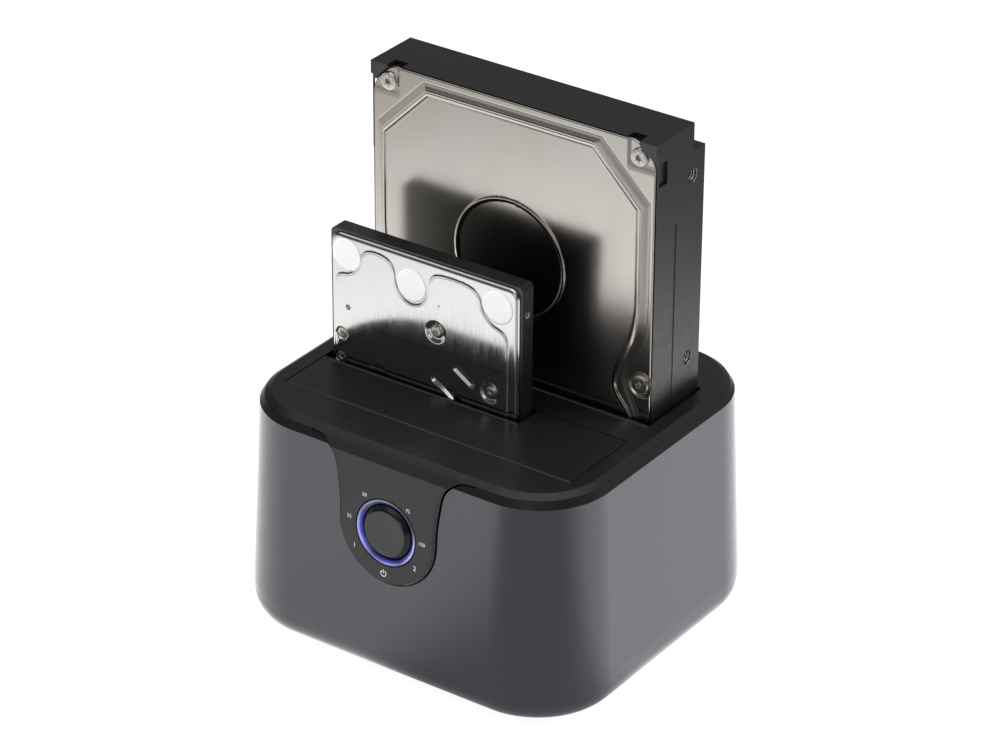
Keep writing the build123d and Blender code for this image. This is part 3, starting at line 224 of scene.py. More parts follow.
def product(tree, first, second):
    """Two values, or a value and a number, multiplied."""
    node = add_node(tree, "ShaderNodeMath", operation="MULTIPLY")
    tree.links.new(first, node.inputs[0])
    if isinstance(second, float):
        node.inputs[1].default_value = second
    else:
        tree.links.new(second, node.inputs[1])
    return node.outputs[0]


def on_vector(tree, operation, source, other=None):
    """A vector's length, its unit vector, or its dot product with a fixed vector."""
    node = add_node(tree, "ShaderNodeVectorMath", operation=operation)
    tree.links.new(source, node.inputs[0])
    if other is not None:
        node.inputs[1].default_value = other
    return node.outputs["Vector" if operation == "NORMALIZE" else "Value"]


print("helpers for ranges, products and vectors ready")

# %% The pool of light on the table
place = paper_tree.nodes.new("ShaderNodeTexCoord").outputs["Object"]
reach = on_vector(paper_tree, "LENGTH", place)
facing = on_vector(paper_tree, "DOT_PRODUCT", on_vector(paper_tree, "NORMALIZE", place), towards_camera)
away = on_vector(paper_tree, "DOT_PRODUCT", place, towards_camera * Vector((1, -1, 0)))
pool = product(paper_tree, ranged(paper_tree, reach, near_reach, far_reach, 1.0, far_share),
               ranged(paper_tree, facing, facing_low, facing_high, 1.0, facing_share))
pool = product(paper_tree, pool, ranged(paper_tree, away, away_near, away_far, 1.0, away_share))
rays = paper_tree.nodes.new("ShaderNodeLightPath")
level_choice = add_node(paper_tree, "ShaderNodeMix", data_type="FLOAT")
level_choice.inputs["B"].default_value = 1.0
paper_tree.links.new(rays.outputs["Is Camera Ray"], level_choice.inputs["Factor"])
paper_tree.links.new(pool, level_choice.inputs["A"])
glow = add_node(paper_tree, "ShaderNodeEmission")
paper_tree.links.new(product(paper_tree, level_choice.outputs["Result"], floor_glow), glow.inputs["Strength"])
print("the pool fades between", near_reach, "and", far_reach, "m")

# %% Paper for lamps, glow for the camera and for mirrors
seen = add_node(paper_tree, "ShaderNodeMath", operation="MAXIMUM")
seen_through = add_node(paper_tree, "ShaderNodeMath", operation="MAXIMUM")
share = add_node(paper_tree, "ShaderNodeMath", operation="MULTIPLY")
share.inputs[1].default_value = floor_glow_share
blend = paper_tree.nodes.new("ShaderNodeMixShader")
paper_tree.links.new(rays.outputs["Is Camera Ray"], seen.inputs[0])
paper_tree.links.new(rays.outputs["Is Glossy Ray"], seen.inputs[1])
paper_tree.links.new(seen.outputs[0], seen_through.inputs[0])
paper_tree.links.new(rays.outputs["Is Transmission Ray"], seen_through.inputs[1])
paper_tree.links.new(seen_through.outputs[0], share.inputs[0])
paper_tree.links.new(share.outputs[0], blend.inputs["Fac"])
paper_tree.links.new(paper_shader.outputs[0], blend.inputs[1])
paper_tree.links.new(glow.outputs[0], blend.inputs[2])
paper_tree.links.new(blend.outputs[0], paper_tree.nodes["Material Output"].inputs["Surface"])
floor_mesh.materials.append(paper)
print("the glow takes", floor_glow_share, "of what the camera sees of the table")

# %% The sky
sky_horizon = 0.045
sky_middle = 0.08
sky_middle_height = 0.62
sky_zenith = 0.5
sky_color = (0.985, 0.985, 1, 1)
back_glow = 0.13
back_glow_start, back_glow_full = 0.1, 0.7
card_glow = 0.8
card_direction = Vector((0.28, -0.92, 0.27)).normalized()
card_edge, card_core = 0.93, 0.975

world = bpy.data.worlds.new("studio")
bpy.context.scene.world = world
world.use_nodes = True
sky = world.node_tree
direction = sky.nodes.new("ShaderNodeTexCoord").outputs["Generated"]
axes = sky.nodes.new("ShaderNodeSeparateXYZ")
sky.links.new(direction, axes.inputs[0])
ramp = sky.nodes.new("ShaderNodeValToRGB")
ramp.color_ramp.interpolation = "EASE"
steps = ramp.color_ramp.elements
for step, height, value in ((steps[0], 0.0, sky_horizon), (steps[1], 1.0, sky_zenith),
                            (steps.new(sky_middle_height), sky_middle_height, sky_middle)):
    step.position = height
    step.color = (value, value, value, 1)
sky.links.new(axes.outputs["Z"], ramp.inputs["Fac"])
card = on_vector(sky, "DOT_PRODUCT", direction, card_direction)
behind = add_node(sky, "ShaderNodeMath", operation="ADD")
sky.links.new(ranged(sky, axes.outputs["Y"], back_glow_start, back_glow_full, 0.0, back_glow), behind.inputs[0])
sky.links.new(ranged(sky, card, card_edge, card_core, 0.0, card_glow), behind.inputs[1])
sky_level = add_node(sky, "ShaderNodeMath", operation="ADD")
sky.links.new(ramp.outputs["Color"], sky_level.inputs[0])
sky.links.new(behind.outputs[0], sky_level.inputs[1])
sky.nodes["Background"].inputs["Color"].default_value = sky_color
sky.links.new(sky_level.outputs[0], sky.nodes["Background"].inputs["Strength"])
print("a dim sky that brightens overhead from", sky_horizon, "to", sky_zenith)

# %% Soft lamps
def soft_lamp(name, place, size, power, target=(0, 0, 0.08)):
    """A large square lamp that faces the dock, and that nothing polished mirrors."""
    data = bpy.data.lights.new(name, "AREA")
    data.shape = "SQUARE"
    data.size = size
    data.energy = power
    lamp = bpy.data.objects.new(name, data)
    bpy.context.scene.collection.objects.link(lamp)
    lamp.location = place
    lamp.rotation_euler = (Vector(target) - Vector(place)).to_track_quat("-Z", "Y").to_euler()
    lamp.visible_glossy = False
    return lamp


lamps = {"key_lamp": ((1.75, 1.15, 0.95), 1.5, 75), "fill_lamp": ((-1.6, -1.7, 1.4), 2.0, 55)}
for name, (place, size, power) in lamps.items():
    soft_lamp(name, place, size, power)
print(len(lamps), "soft lamps")

# %% [markdown]
# ## Smooth copies
# A solid from CAD arrives as loose flat triangles. That is right for a box, but a curved wall would
# show its facets in its mirror image. So the pieces that show are copied, their triangles are joined,
# and the shading is made smooth wherever two faces meet at a small angle. The weighted normal
# modifier then lets large flat faces keep their true direction, and hands the bending of the light to
# the small round ones.

# %% Join and smooth a copy of a solid
def bake(piece):
    """Turn a piece with modifiers into a plain mesh."""
    graph = bpy.context.evaluated_depsgraph_get()
    mesh = bpy.data.meshes.new_from_object(piece.evaluated_get(graph))
    piece.modifiers.clear()
    piece.data = mesh
    return piece


def link_piece(name, mesh):
    """A new piece in the scene from a mesh or a curve."""
    piece = bpy.data.objects.new(name, mesh)
    bpy.context.scene.collection.objects.link(piece)
    return piece


def stand_in(piece, node):
    """Let a piece take the place of a solid: its body and its looks."""
    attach(piece, nodes[node]["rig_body"])
    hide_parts(node)
    return piece


def smooth_copy(node, finish, sharp=28, bevel=0.0, others=(), choose=None):
    """A joined and smoothed copy of a solid that stands in for it, with rounded edges if asked.

    From a face's middle and direction, choose gives the number of the finish that the face takes."""
    edit = bmesh.new()
    edit.from_mesh(nodes[node].data)
    bmesh.ops.remove_doubles(edit, verts=edit.verts, dist=mm / 1000)
    if bevel:
        bmesh.ops.dissolve_limit(edit, angle_limit=radians(0.4), verts=edit.verts, edges=edit.edges)
    for face in edit.faces:
        face.smooth = True
        if choose:
            face.material_index = choose(face.calc_center_median() / mm, face.normal)
    for edge in edit.edges:
        edge.smooth = len(edge.link_faces) == 2 and edge.calc_face_angle(pi) < radians(sharp)
    mesh = bpy.data.meshes.new(node + "_smooth")
    edit.to_mesh(mesh)
    edit.free()
    for coat in (finish, *others):
        mesh.materials.append(coat)
    piece = link_piece(node + "_smooth", mesh)
    if bevel:
        rounding = piece.modifiers.new("rounding", "BEVEL")
        rounding.width = bevel
        rounding.segments = 2
        rounding.limit_method = "ANGLE"
        rounding.angle_limit = radians(sharp)
        rounding.use_clamp_overlap = True
    weighting = piece.modifiers.new("weighting", "WEIGHTED_NORMAL")
    weighting.keep_sharp = True
    return stand_in(bake(piece), node)


def clothe(node, finish):
    """Give a solid its finish as it is."""
    nodes[node].data.materials.clear()
    nodes[node].data.materials.append(finish)
    return nodes[node]


# %% [markdown]
# ## Plastic finishes
# The walls are polished, so their roughness is low and only a faint cloudiness of the moulding breaks
# their mirror. The cover, the flaps and the tongue have a fine spark-eroded texture, which is a rough
# surface with a grain far smaller than a millimetre.

# %% Polished and satin black
polished, tree, shader = new_finish("polished_black")
set_shader(shader, (0.02, 0.0195, 0.031), 0.1, ior=1.55, coat=0.75)
cloud = object_noise(tree, 60, 2)
tree.links.new(spread(tree, cloud, 0.085, 0.125), shader.inputs["Roughness"])
add_grain(tree, shader, object_noise(tree, 22, 1), 0.00002, 0.5)

satin, tree, shader = new_finish("satin_black")
set_shader(shader, (0.008, 0.008, 0.0083), 0.3, ior=1.54)
tree.links.new(spread(tree, object_noise(tree, 300, 2), 0.27, 0.34), shader.inputs["Roughness"])
add_grain(tree, shader, object_noise(tree, 4200, 2), 0.000025, 0.45)

matt, tree, shader = new_finish("matt_black")
set_shader(shader, (0.012, 0.012, 0.013), 0.6)
add_grain(tree, shader, object_noise(tree, 2500, 2), 0.00003, 0.4)

gloss, tree, shader = new_finish("gloss_black")
set_shader(shader, (0.012, 0.012, 0.014), 0.09)
tree.links.new(spread(tree, object_noise(tree, 150, 2), 0.07, 0.12), shader.inputs["Roughness"])

rubber, tree, shader = new_finish("foot_rubber")
set_shader(shader, (0.02, 0.02, 0.02), 0.75)
add_grain(tree, shader, object_noise(tree, 1800, 3), 0.00005, 0.5)
print("five black finishes")

# %% [markdown]
# ## Metal finishes
# The lids are rolled steel: a mirror that is a little blurred, with faint streaks from the rolls. The
# casting of a large drive is aluminium with a thin black coat, smooth but with a fine grain that the
# milling cutter leaves.
#
# The press leaves lines in a lid that are only a few tenths of a millimetre wide. Cut into the mesh
# they would need a grid several times finer. So the mesh carries marks instead: at every point, how
# far away a certain outline is. The finish reads a mark and turns it into a groove by bump. The broad
# forms stay real geometry, and only what is too thin for the grid is drawn.

# %% Lines finer than the grid
def fine_line(tree, mark, middle, half_width, depth):
    """A groove's depth in millimetres across a line at one value of a distance mark."""
    distance = add_node(tree, "ShaderNodeAttribute", attribute_name=mark)
    shifted = add_node(tree, "ShaderNodeMath", operation="SUBTRACT")
    shifted.inputs[1].default_value = middle
    tree.links.new(distance.outputs["Fac"], shifted.inputs[0])
    far = add_node(tree, "ShaderNodeMath", operation="ABSOLUTE")
    tree.links.new(shifted.outputs[0], far.inputs[0])
    return ranged(tree, far.outputs[0], 0.0, half_width, -depth, 0.0)


def total(tree, first, *others):
    """The sum of several values."""
    for other in others:
        node = add_node(tree, "ShaderNodeMath", operation="ADD")
        tree.links.new(first, node.inputs[0])
        tree.links.new(other, node.inputs[1])
        first = node.outputs[0]
    return first


print("helpers for fine lines ready")

# %% Steel for the large lid
lid_steel, tree, shader = new_finish("rolled_lid_steel")
set_shader(shader, (0.65, 0.625, 0.59), 0.19, metallic=1.0)
streaks = object_noise(tree, 90, 4, (1, 1, 0.12))
tree.links.new(spread(tree, streaks, 0.17, 0.23), shader.inputs["Roughness"])
stain = add_node(tree, "ShaderNodeMix", data_type="RGBA")
stain.inputs["A"].default_value = (0.68, 0.65, 0.61, 1)
stain.inputs["B"].default_value = (0.65, 0.6, 0.54, 1)
tree.links.new(spread(tree, object_noise(tree, 28, 3), 0.0, 1.0), stain.inputs["Factor"])
tree.links.new(stain.outputs["Result"], shader.inputs["Base Color"])
grain = product(tree, object_noise(tree, 1500, 3), 0.006)
waist = add_node(tree, "ShaderNodeAttribute", attribute_name="waist")
swerve = product(tree, fine_line(tree, "ridge", -0.9, 1.1, -0.95), waist.outputs["Fac"])
lines = total(tree, grain, fine_line(tree, "foot", -0.15, 0.28, 0.05), fine_line(tree, "ridge", -1.35, 0.3, 0.09),
              fine_line(tree, "ridge", 0.15, 0.42, 0.2), swerve)
add_grain(tree, shader, lines, mm)
print("large lid: streaks, faint stains and four fine lines")

# %% Coated castings and bare threads
cast_black, tree, shader = new_finish("coated_casting")
set_shader(shader, (0.005, 0.005, 0.0052), 0.32, ior=1.85)
tree.links.new(spread(tree, object_noise(tree, 260, 3), 0.27, 0.38), shader.inputs["Roughness"])
milling = object_noise(tree, 2200, 2, (1, 0.04, 1))
add_grain(tree, shader, milling, 0.000012, 0.5)

bare_thread, tree, shader = new_finish("bare_thread")
set_shader(shader, (0.8, 0.79, 0.77), 0.24, metallic=1.0)
thread_pitch = 0.8 * mm
place = tree.nodes.new("ShaderNodeTexCoord")
apart = tree.nodes.new("ShaderNodeSeparateXYZ")
tree.links.new(place.outputs["Object"], apart.inputs[0])
turns = add_node(tree, "ShaderNodeMath", operation="SINE")
tree.links.new(product(tree, apart.outputs["X"], 2 * pi / thread_pitch), turns.inputs[0])
add_grain(tree, shader, turns.outputs[0], 0.00012, 0.8)
print("thread pitch", round(thread_pitch / mm, 2), "mm")

# %% Gasket with painted gap shade, screws, plating and seals
# The dark gasket finish goes on the back of the lids' skirts: partly the real gasket, partly painted shade of the
# gap round a lid.
gap_shade_gasket, tree, shader = new_finish("lid_gasket_with_gap_shade")
set_shader(shader, (0.008, 0.008, 0.008), 0.8)
add_grain(tree, shader, object_noise(tree, 1500, 3), 0.00006, 0.6)

screw_steel, tree, shader = new_finish("screw_steel")
set_shader(shader, (0.76, 0.73, 0.67), 0.3, metallic=1.0)
tree.links.new(spread(tree, object_noise(tree, 900, 3), 0.26, 0.36), shader.inputs["Roughness"])

plating, tree, shader = new_finish("bright_plating")
set_shader(shader, (0.66, 0.66, 0.67), 0.22, metallic=1.0)
tree.links.new(spread(tree, object_noise(tree, 400, 3), 0.16, 0.3), shader.inputs["Roughness"])

seal_film, tree, shader = new_finish("seal_film")
set_shader(shader, (0.97, 0.97, 0.96), 0.5)
tree.links.new(spread(tree, object_noise(tree, 500, 2), 0.42, 0.58), shader.inputs["Roughness"])
add_grain(tree, shader, object_noise(tree, 700, 2), 0.00003, 0.3)
print("gasket, screw steel, plating and seal film")

# %% Circuit boards and flat lead
board_green, tree, shader = new_finish("board_lacquer")
set_shader(shader, (0.008, 0.05, 0.03), 0.3, coat=0.4)
tracks = add_node(tree, "ShaderNodeTexBrick", Scale=160)
tracks.inputs["Color1"].default_value = (0.007, 0.045, 0.027, 1)
tracks.inputs["Color2"].default_value = (0.01, 0.062, 0.036, 1)
tracks.inputs["Mortar"].default_value = (0.02, 0.09, 0.05, 1)
board_place = tree.nodes.new("ShaderNodeTexCoord")
tree.links.new(board_place.outputs["Object"], tracks.inputs["Vector"])
tree.links.new(tracks.outputs["Color"], shader.inputs["Base Color"])

lead_grey, tree, shader = new_finish("lead_grey")
set_shader(shader, (0.3, 0.3, 0.32), 0.5)
add_grain(tree, shader, object_noise(tree, 600, 2, (6, 1, 1)), 0.0001, 0.6)
print("green boards with tracks, grey lead with ribs")

# %% Bright steel for the small lid
bright_lid, tree, shader = new_finish("bright_lid_steel")
set_shader(shader, (0.8, 0.795, 0.78), 0.13, metallic=1.0)
streaks = object_noise(tree, 2400, 2, (1, 1, 0.05))
tree.links.new(spread(tree, streaks, 0.09, 0.17), shader.inputs["Roughness"])
grain = product(tree, object_noise(tree, 1300, 3, (1, 1, 0.1)), 0.006)
add_grain(tree, shader, total(tree, grain, fine_line(tree, "panel", 0.55, 0.35, 0.06)), mm)
print("small lid: brushed streaks and one fine line")

# %% [markdown]
# ## Glow
# The ring is milky plastic with small lights behind it. It is brighter near its outer edge, blue on
# one side and almost white on the other, and hardly lit at the top right. Real scattered light would
# need a thick clear body and many samples. Here the glow is painted: one set of colour steps runs
# round the ring by angle, another runs across it by radius, and the two are multiplied. The base
# colour across the ring is painted light and shade too: lighter where the glow is brightest, darker
# on the shaded inner slope and in the shade of the gap round the outer edge.

# %% The button and the ring of light
ring_middle_height = 52.0 * mm
ring_inner, ring_outer = 8.8 * mm, 10.7 * mm
ring_glow = 1.1

button_black, tree, shader = new_finish("button_black")
set_shader(shader, (0.008, 0.008, 0.009), 0.14, ior=1.6)
tree.links.new(spread(tree, object_noise(tree, 200, 2), 0.12, 0.17), shader.inputs["Roughness"])
add_grain(tree, shader, object_noise(tree, 2500, 2), 0.00001, 0.3)

milky_ring, tree, shader = new_finish("milky_ring")
set_shader(shader, (0.06, 0.06, 0.07), 0.22)
place = tree.nodes.new("ShaderNodeTexCoord")
apart = tree.nodes.new("ShaderNodeSeparateXYZ")
tree.links.new(place.outputs["Object"], apart.inputs[0])
lowered = add_node(tree, "ShaderNodeMath", operation="SUBTRACT")
lowered.inputs[1].default_value = ring_middle_height
tree.links.new(apart.outputs["Z"], lowered.inputs[0])
angle = add_node(tree, "ShaderNodeMath", operation="ARCTAN2")
tree.links.new(lowered.outputs[0], angle.inputs[0])
tree.links.new(apart.outputs["X"], angle.inputs[1])
turn_share = add_node(tree, "ShaderNodeMapRange", From_Min=-pi, From_Max=pi)
tree.links.new(angle.outputs[0], turn_share.inputs["Value"])
flat_place = add_node(tree, "ShaderNodeCombineXYZ")
tree.links.new(apart.outputs["X"], flat_place.inputs["X"])
tree.links.new(lowered.outputs[0], flat_place.inputs["Z"])
ring_share = add_node(tree, "ShaderNodeMapRange", From_Min=ring_inner, From_Max=ring_outer)
tree.links.new(on_vector(tree, "LENGTH", flat_place.outputs[0]), ring_share.inputs["Value"])
print(f"the glow runs from {ring_inner / mm:.1f} to {ring_outer / mm:.1f} mm")


# %% Colours round the ring and across it
def color_steps(tree, source, steps):
    """Colours along a 0 to 1 value."""
    node = tree.nodes.new("ShaderNodeValToRGB")
    elements = node.color_ramp.elements
    elements[0].position, elements[1].position = steps[0][0], steps[-1][0]
    for position, _ in steps[1:-1]:
        elements.new(position)
    for element, (position, color) in zip(elements, steps):
        element.position = position
        element.color = (*color, 1)
    tree.links.new(source, node.inputs["Fac"])
    return node.outputs["Color"]


def tinted(tree, first, second):
    """Two colours multiplied."""
    node = add_node(tree, "ShaderNodeMix", data_type="RGBA", blend_type="MULTIPLY")
    node.inputs["Factor"].default_value = 1.0
    tree.links.new(first, node.inputs["A"])
    tree.links.new(second, node.inputs["B"])
    return node.outputs["Result"]


round_glow = color_steps(tree, turn_share.outputs[0], [
    (0.0, (0.33, 0.33, 0.74)), (0.083, (0.36, 0.37, 0.92)), (0.16, (0.1, 0.1, 0.32)), (0.22, (0.16, 0.165, 0.45)),
    (0.26, (0.26, 0.27, 0.68)), (0.333, (0.12, 0.125, 0.26)), (0.38, (0.3, 0.31, 0.56)), (0.417, (0.48, 0.485, 0.8)),
    (0.5, (0.5, 0.505, 0.66)), (0.545, (0.2, 0.2, 0.24)), (0.583, (0.08, 0.08, 0.1)), (0.667, (0.09, 0.09, 0.11)),
    (0.75, (0.24, 0.24, 0.28)), (0.833, (0.2, 0.205, 0.28)), (0.917, (0.16, 0.16, 0.34)), (1.0, (0.33, 0.33, 0.74))])
across_glow = color_steps(tree, ring_share.outputs[0], [
    (0.06, (0.0, 0.0, 0.03)), (0.3, (0.1, 0.13, 0.36)), (0.48, (0.2, 0.24, 0.5)), (0.7, (0.95, 0.95, 1.0)),
    (0.8, (1.0, 1.0, 1.0)), (0.88, (0.45, 0.45, 0.6)), (0.94, (0.03, 0.03, 0.08))])
tree.links.new(tinted(tree, round_glow, across_glow), shader.inputs["Emission Color"])
shader.inputs["Emission Strength"].default_value = ring_glow
# Painted light and shade in the base colour: lighter where the glow peaks, darker on the shaded inner slope and in
# the gap's shade at the outer edge.
plastic_light_and_shade = color_steps(tree, ring_share.outputs[0], [
    (0.1, (0.004, 0.004, 0.01)), (0.5, (0.02, 0.02, 0.03)), (0.7, (0.06, 0.06, 0.07)), (0.86, (0.04, 0.04, 0.05)),
    (0.94, (0.008, 0.008, 0.012))])
tree.links.new(plastic_light_and_shade, shader.inputs["Base Color"])
print("milky plastic with a painted glow of strength", ring_glow)

# %% White ink
white_ink, tree, shader = new_finish("white_ink")
set_shader(shader, (0.7, 0.7, 0.72), 0.5)
tree.links.new(spread(tree, object_noise(tree, 3000, 2), 0.4, 0.6), shader.inputs["Roughness"])
print("ink for the printed marks")

# %% [markdown]
# ## Dressing the solids
# Small parts inside keep their own mesh and only take a finish. The parts that show get a smoothed
# copy. A few carry two or three finishes, as real parts do where a mould is polished in one place and
# etched in another, or where a drill cuts through a coat. On those, a small function looks at each
# face's middle and direction and picks the finish. Two of them also take a darker finish as painted
# shade: the left of the tongue's edge, where the gap's shade falls, and the end face of the large
# drive's casting.

# %% Clothe the solids that stay
plain = {
    matt: ["board_chips", "power_coils", "front_drive_socket", "rear_drive_socket", "power_switch", "tact_switch",
           "ribbon_plugs", "large_drive_plug", "small_drive_plug"],
    gloss: ["tact_plunger"],
    screw_steel: ["base_screws", "cover_screws", "well_screws", "main_board_screws", "button_board_screws",
                  "large_board_screws"],
    board_green: ["main_board", "button_board", "large_drive_board", "small_drive_board"],
    seal_film: ["status_lights"],
    lead_grey: ["ribbon_lead"],
}
for finish, names in plain.items():
    for name in names:
        clothe(name, finish)
print(sum(len(names) for names in plain.values()), "solids clothed as they are")

# %% Smooth the solids that show
smoothed = {
    polished: ["base_shell"],
    satin: ["front_bay_well", "rear_bay_well"],
    gloss: ["power_button"],
    matt: ["usb_port_insert", "power_inlet"],
    rubber: ["rubber_feet"],
    plating: ["usb_port", "power_inlet_pin", "front_flap_pin", "front_small_flap_pin", "rear_flap_pin",
              "rear_small_flap_pin", "capacitors", "large_drive_motor", "small_drive_motor"],
}
for finish, names in smoothed.items():
    for name in names:
        smooth_copy(name, finish)
print(sum(len(names) for names in smoothed.values()), "solids smoothed")

# %% Round the edges of the flaps
flap_rounding = 0.25 * mm
flaps = ["front_flap", "front_small_flap", "rear_flap", "rear_small_flap"]
for name in flaps:
    smooth_copy(name, satin, bevel=flap_rounding)
print(len(flaps), "flaps with edges rounded by", round(flap_rounding / mm, 2), "mm")

# %% The housing and the cover
rim_crease = 73.8
tongue_front, tongue_top = -54, rim_crease - 0.4
slant_low, slant_high = 0.4, 0.95
shaded_left = -0.12
shaded_foot_left, shaded_foot_down = 0.3, -0.6


def rim_finish(middle, direction):
    """The housing is polished up to the crease and satin above it."""
    return int(middle.z > rim_crease)


def tongue_edge_finish(middle, direction):
    """The slanted edge round the tongue is polished, and matt black on the left as painted shade of the gap."""
    on_tongue = middle.z < tongue_top and middle.y < tongue_front
    if not (on_tongue and slant_low < -direction.y < slant_high):
        return 0
    at_foot = direction.x < shaded_foot_left and direction.z < shaded_foot_down
    # Finish 2, matt black, is painted shade: it darkens the left of the edge where the gap's shade falls.
    return 2 if direction.x < shaded_left or at_foot else 1


smooth_copy("outer_shell", polished, others=(satin,), choose=rim_finish)
smooth_copy("top_cover", satin, others=(polished, matt), choose=tongue_edge_finish)
print("the housing's finish changes at", rim_crease, "mm")

# %% The castings and their threaded holes
large_side_holes = {"half_span": 50.8, "centre_x": 0, "depth": 5.2, "y": 25.25, "heights": (49.1, 90.7, 150.7),
                    "radius": 2.4}
small_side_holes = {"half_span": 34.925, "centre_x": -15.88, "depth": 3.2, "y": -12.5, "heights": (34.6, 111.2),
                    "radius": 1.4}
large_end_height = 150
large_rounding, small_rounding = 0.3 * mm, 0.15 * mm


def in_hole(middle, direction, half_span, centre_x, depth, y, heights, radius):
    """Whether a face is part of the wall of one of a drive's side holes, in millimetres."""
    reach = half_span - abs(middle.x - centre_x)
    off_axis = min(np.hypot(middle.y - y, middle.z - height) for height in heights)
    return abs(direction.x) < 0.5 and 0.01 < reach < depth and off_axis < radius


def large_case_finish(middle, direction):
    """Bright threads in the side holes, and the duller satin finish on the end face as painted shade."""
    if in_hole(middle, direction, **large_side_holes):
        return 1
    # The satin finish on the end face is painted shade: it darkens the top face to the shade that falls on it.
    return 2 if direction.z > 0.9 and middle.z > large_end_height else 0


def small_case_finish(middle, direction):
    """Bright threads in the side holes."""
    return int(in_hole(middle, direction, **small_side_holes))


smooth_copy("large_drive_case", cast_black, bevel=large_rounding, others=(bare_thread, satin),
            choose=large_case_finish)
smooth_copy("small_drive_case", cast_black, bevel=small_rounding, others=(bare_thread,), choose=small_case_finish)
print(len(large_side_holes["heights"]), "and", len(small_side_holes["heights"]), "threaded holes to a side")

# %% [markdown]
# ## Pressed sheet
# The lid of a drive is one sheet of steel pressed in a tool. It could be modelled with cuts and
# fillets, but the soft shoulders of a pressing come out better as a height field: a fine grid of
# points, each pushed back by a depth that is added up from simple forms. A form is a distance to some
# outline, passed through a smooth step. The slope of the same sum gives the exact direction of the
# surface, so the mirror images on the steel bend smoothly however coarse the grid is.
#
# The grid is cut off at the lid's outline: squares outside it are dropped, and the points left at the
# border slide onto it. From there a few more rows of points roll over the edge and run back as a
# skirt, whose last row takes the dark colour of the gasket under the lid, which also stands as painted
# shade in the gap round the lid. The sheet also stores the distance marks that the finish reads for
# its fine lines.

# %% Depth forms
def smooth_rise(value, low, high):
    """Zero before low, one after high, and a smooth slope between."""
    share = np.clip((value - low) / (high - low), 0, 1)
    return share * share * (3 - 2 * share)


def outline_distance(outline, x, z):
    """Distance to a closed outline, positive inside."""
    nearest = np.full(x.shape, np.inf)
    inside = np.zeros(x.shape, bool)
    for (ax, az), (bx, bz) in zip(outline, np.roll(outline, -1, axis=0)):
        along = np.clip(((x - ax) * (bx - ax) + (z - az) * (bz - az)) / ((bx - ax) ** 2 + (bz - az) ** 2), 0, 1)
        nearest = np.minimum(nearest, (x - ax - along * (bx - ax)) ** 2 + (z - az - along * (bz - az)) ** 2)
        if az != bz:
            inside ^= ((az > z) != (bz > z)) & (x < (bx - ax) * (z - az) / (bz - az) + ax)
    return np.where(inside, 1, -1) * np.sqrt(nearest)


def line_distance(points, x, z):
    """Distance to an open line of points."""
    nearest = np.full(x.shape, np.inf)
    for (ax, az), (bx, bz) in zip(points[:-1], points[1:]):
        along = np.clip(((x - ax) * (bx - ax) + (z - az) * (bz - az)) / ((bx - ax) ** 2 + (bz - az) ** 2), 0, 1)
        nearest = np.minimum(nearest, (x - ax - along * (bx - ax)) ** 2 + (z - az - along * (bz - az)) ** 2)
    return np.sqrt(nearest)


def round_box(x, z, low, high, radius):
    """Distance to an upright rectangle with round corners, positive inside."""
    middle = (np.array(low) + high) / 2
    half = (np.array(high) - low) / 2 - radius
    over_x = np.abs(x - middle[0]) - half[0]
    over_z = np.abs(z - middle[1]) - half[1]
    outside = np.hypot(np.maximum(over_x, 0), np.maximum(over_z, 0))
    return radius - outside - np.minimum(np.maximum(over_x, over_z), 0)


def soften(points, rounds=3):
    """Cut the corners of an open line again and again, with its ends kept."""
    line = np.array(points, float)
    for _ in range(rounds):
        near = line[:-1] * 0.75 + line[1:] * 0.25
        far = line[:-1] * 0.25 + line[1:] * 0.75
        inner = np.stack([near, far], axis=1).reshape(-1, 2)
        line = np.vstack([line[:1], inner[1:-1], line[-1:]])
    return line


def refined(low, high, step, edges, reach=0.9, fine=0.15):
    """Evenly spaced lines with finer ones near the edges of a form."""
    lines = [np.linspace(low, high, int(round((high - low) / step)) + 1)]
    lines += [np.arange(edge - reach, edge + reach + fine / 2, fine) for edge in edges]
    lines = np.unique(np.round(np.concatenate(lines), 4))
    kept = [lines[0]]
    for line in lines[1:]:
        if line - kept[-1] > fine * 0.6:
            kept.append(line)
    return np.array(kept)


print("forms for pressed sheet ready")


# %% Squares and borders of a grid
def whole_squares(kept):
    """The corners of the squares of a grid whose four points are all kept."""
    index = np.arange(kept.size).reshape(kept.shape)
    quads = kept[:-1, :-1] & kept[:-1, 1:] & kept[1:, :-1] & kept[1:, 1:]
    return np.stack([part[quads] for part in (index[:-1, :-1], index[:-1, 1:], index[1:, 1:], index[1:, :-1])], 1)


def open_sides(corners, size):
    """The sides that belong to one square only, each in its square's own direction."""
    sides = np.concatenate([corners[:, [k, (k + 1) % 4]] for k in range(4)])
    key = np.minimum(sides[:, 0], sides[:, 1]).astype(np.int64) * size + np.maximum(sides[:, 0], sides[:, 1])
    _, first, count = np.unique(key, return_index=True, return_counts=True)
    return sides[first[count == 1]]


def slopes(height_at, x, z, nudge=0.02):
    """The slope of a function of x and z in both directions."""
    return ((height_at(x + nudge, z) - height_at(x - nudge, z)) / (2 * nudge),
            (height_at(x, z + nudge) - height_at(x, z - nudge)) / (2 * nudge))


small_grid = whole_squares(np.ones((3, 4), bool))
print("a grid of 3 by 4 points has", len(small_grid), "squares and", len(open_sides(small_grid, 12)), "open sides")


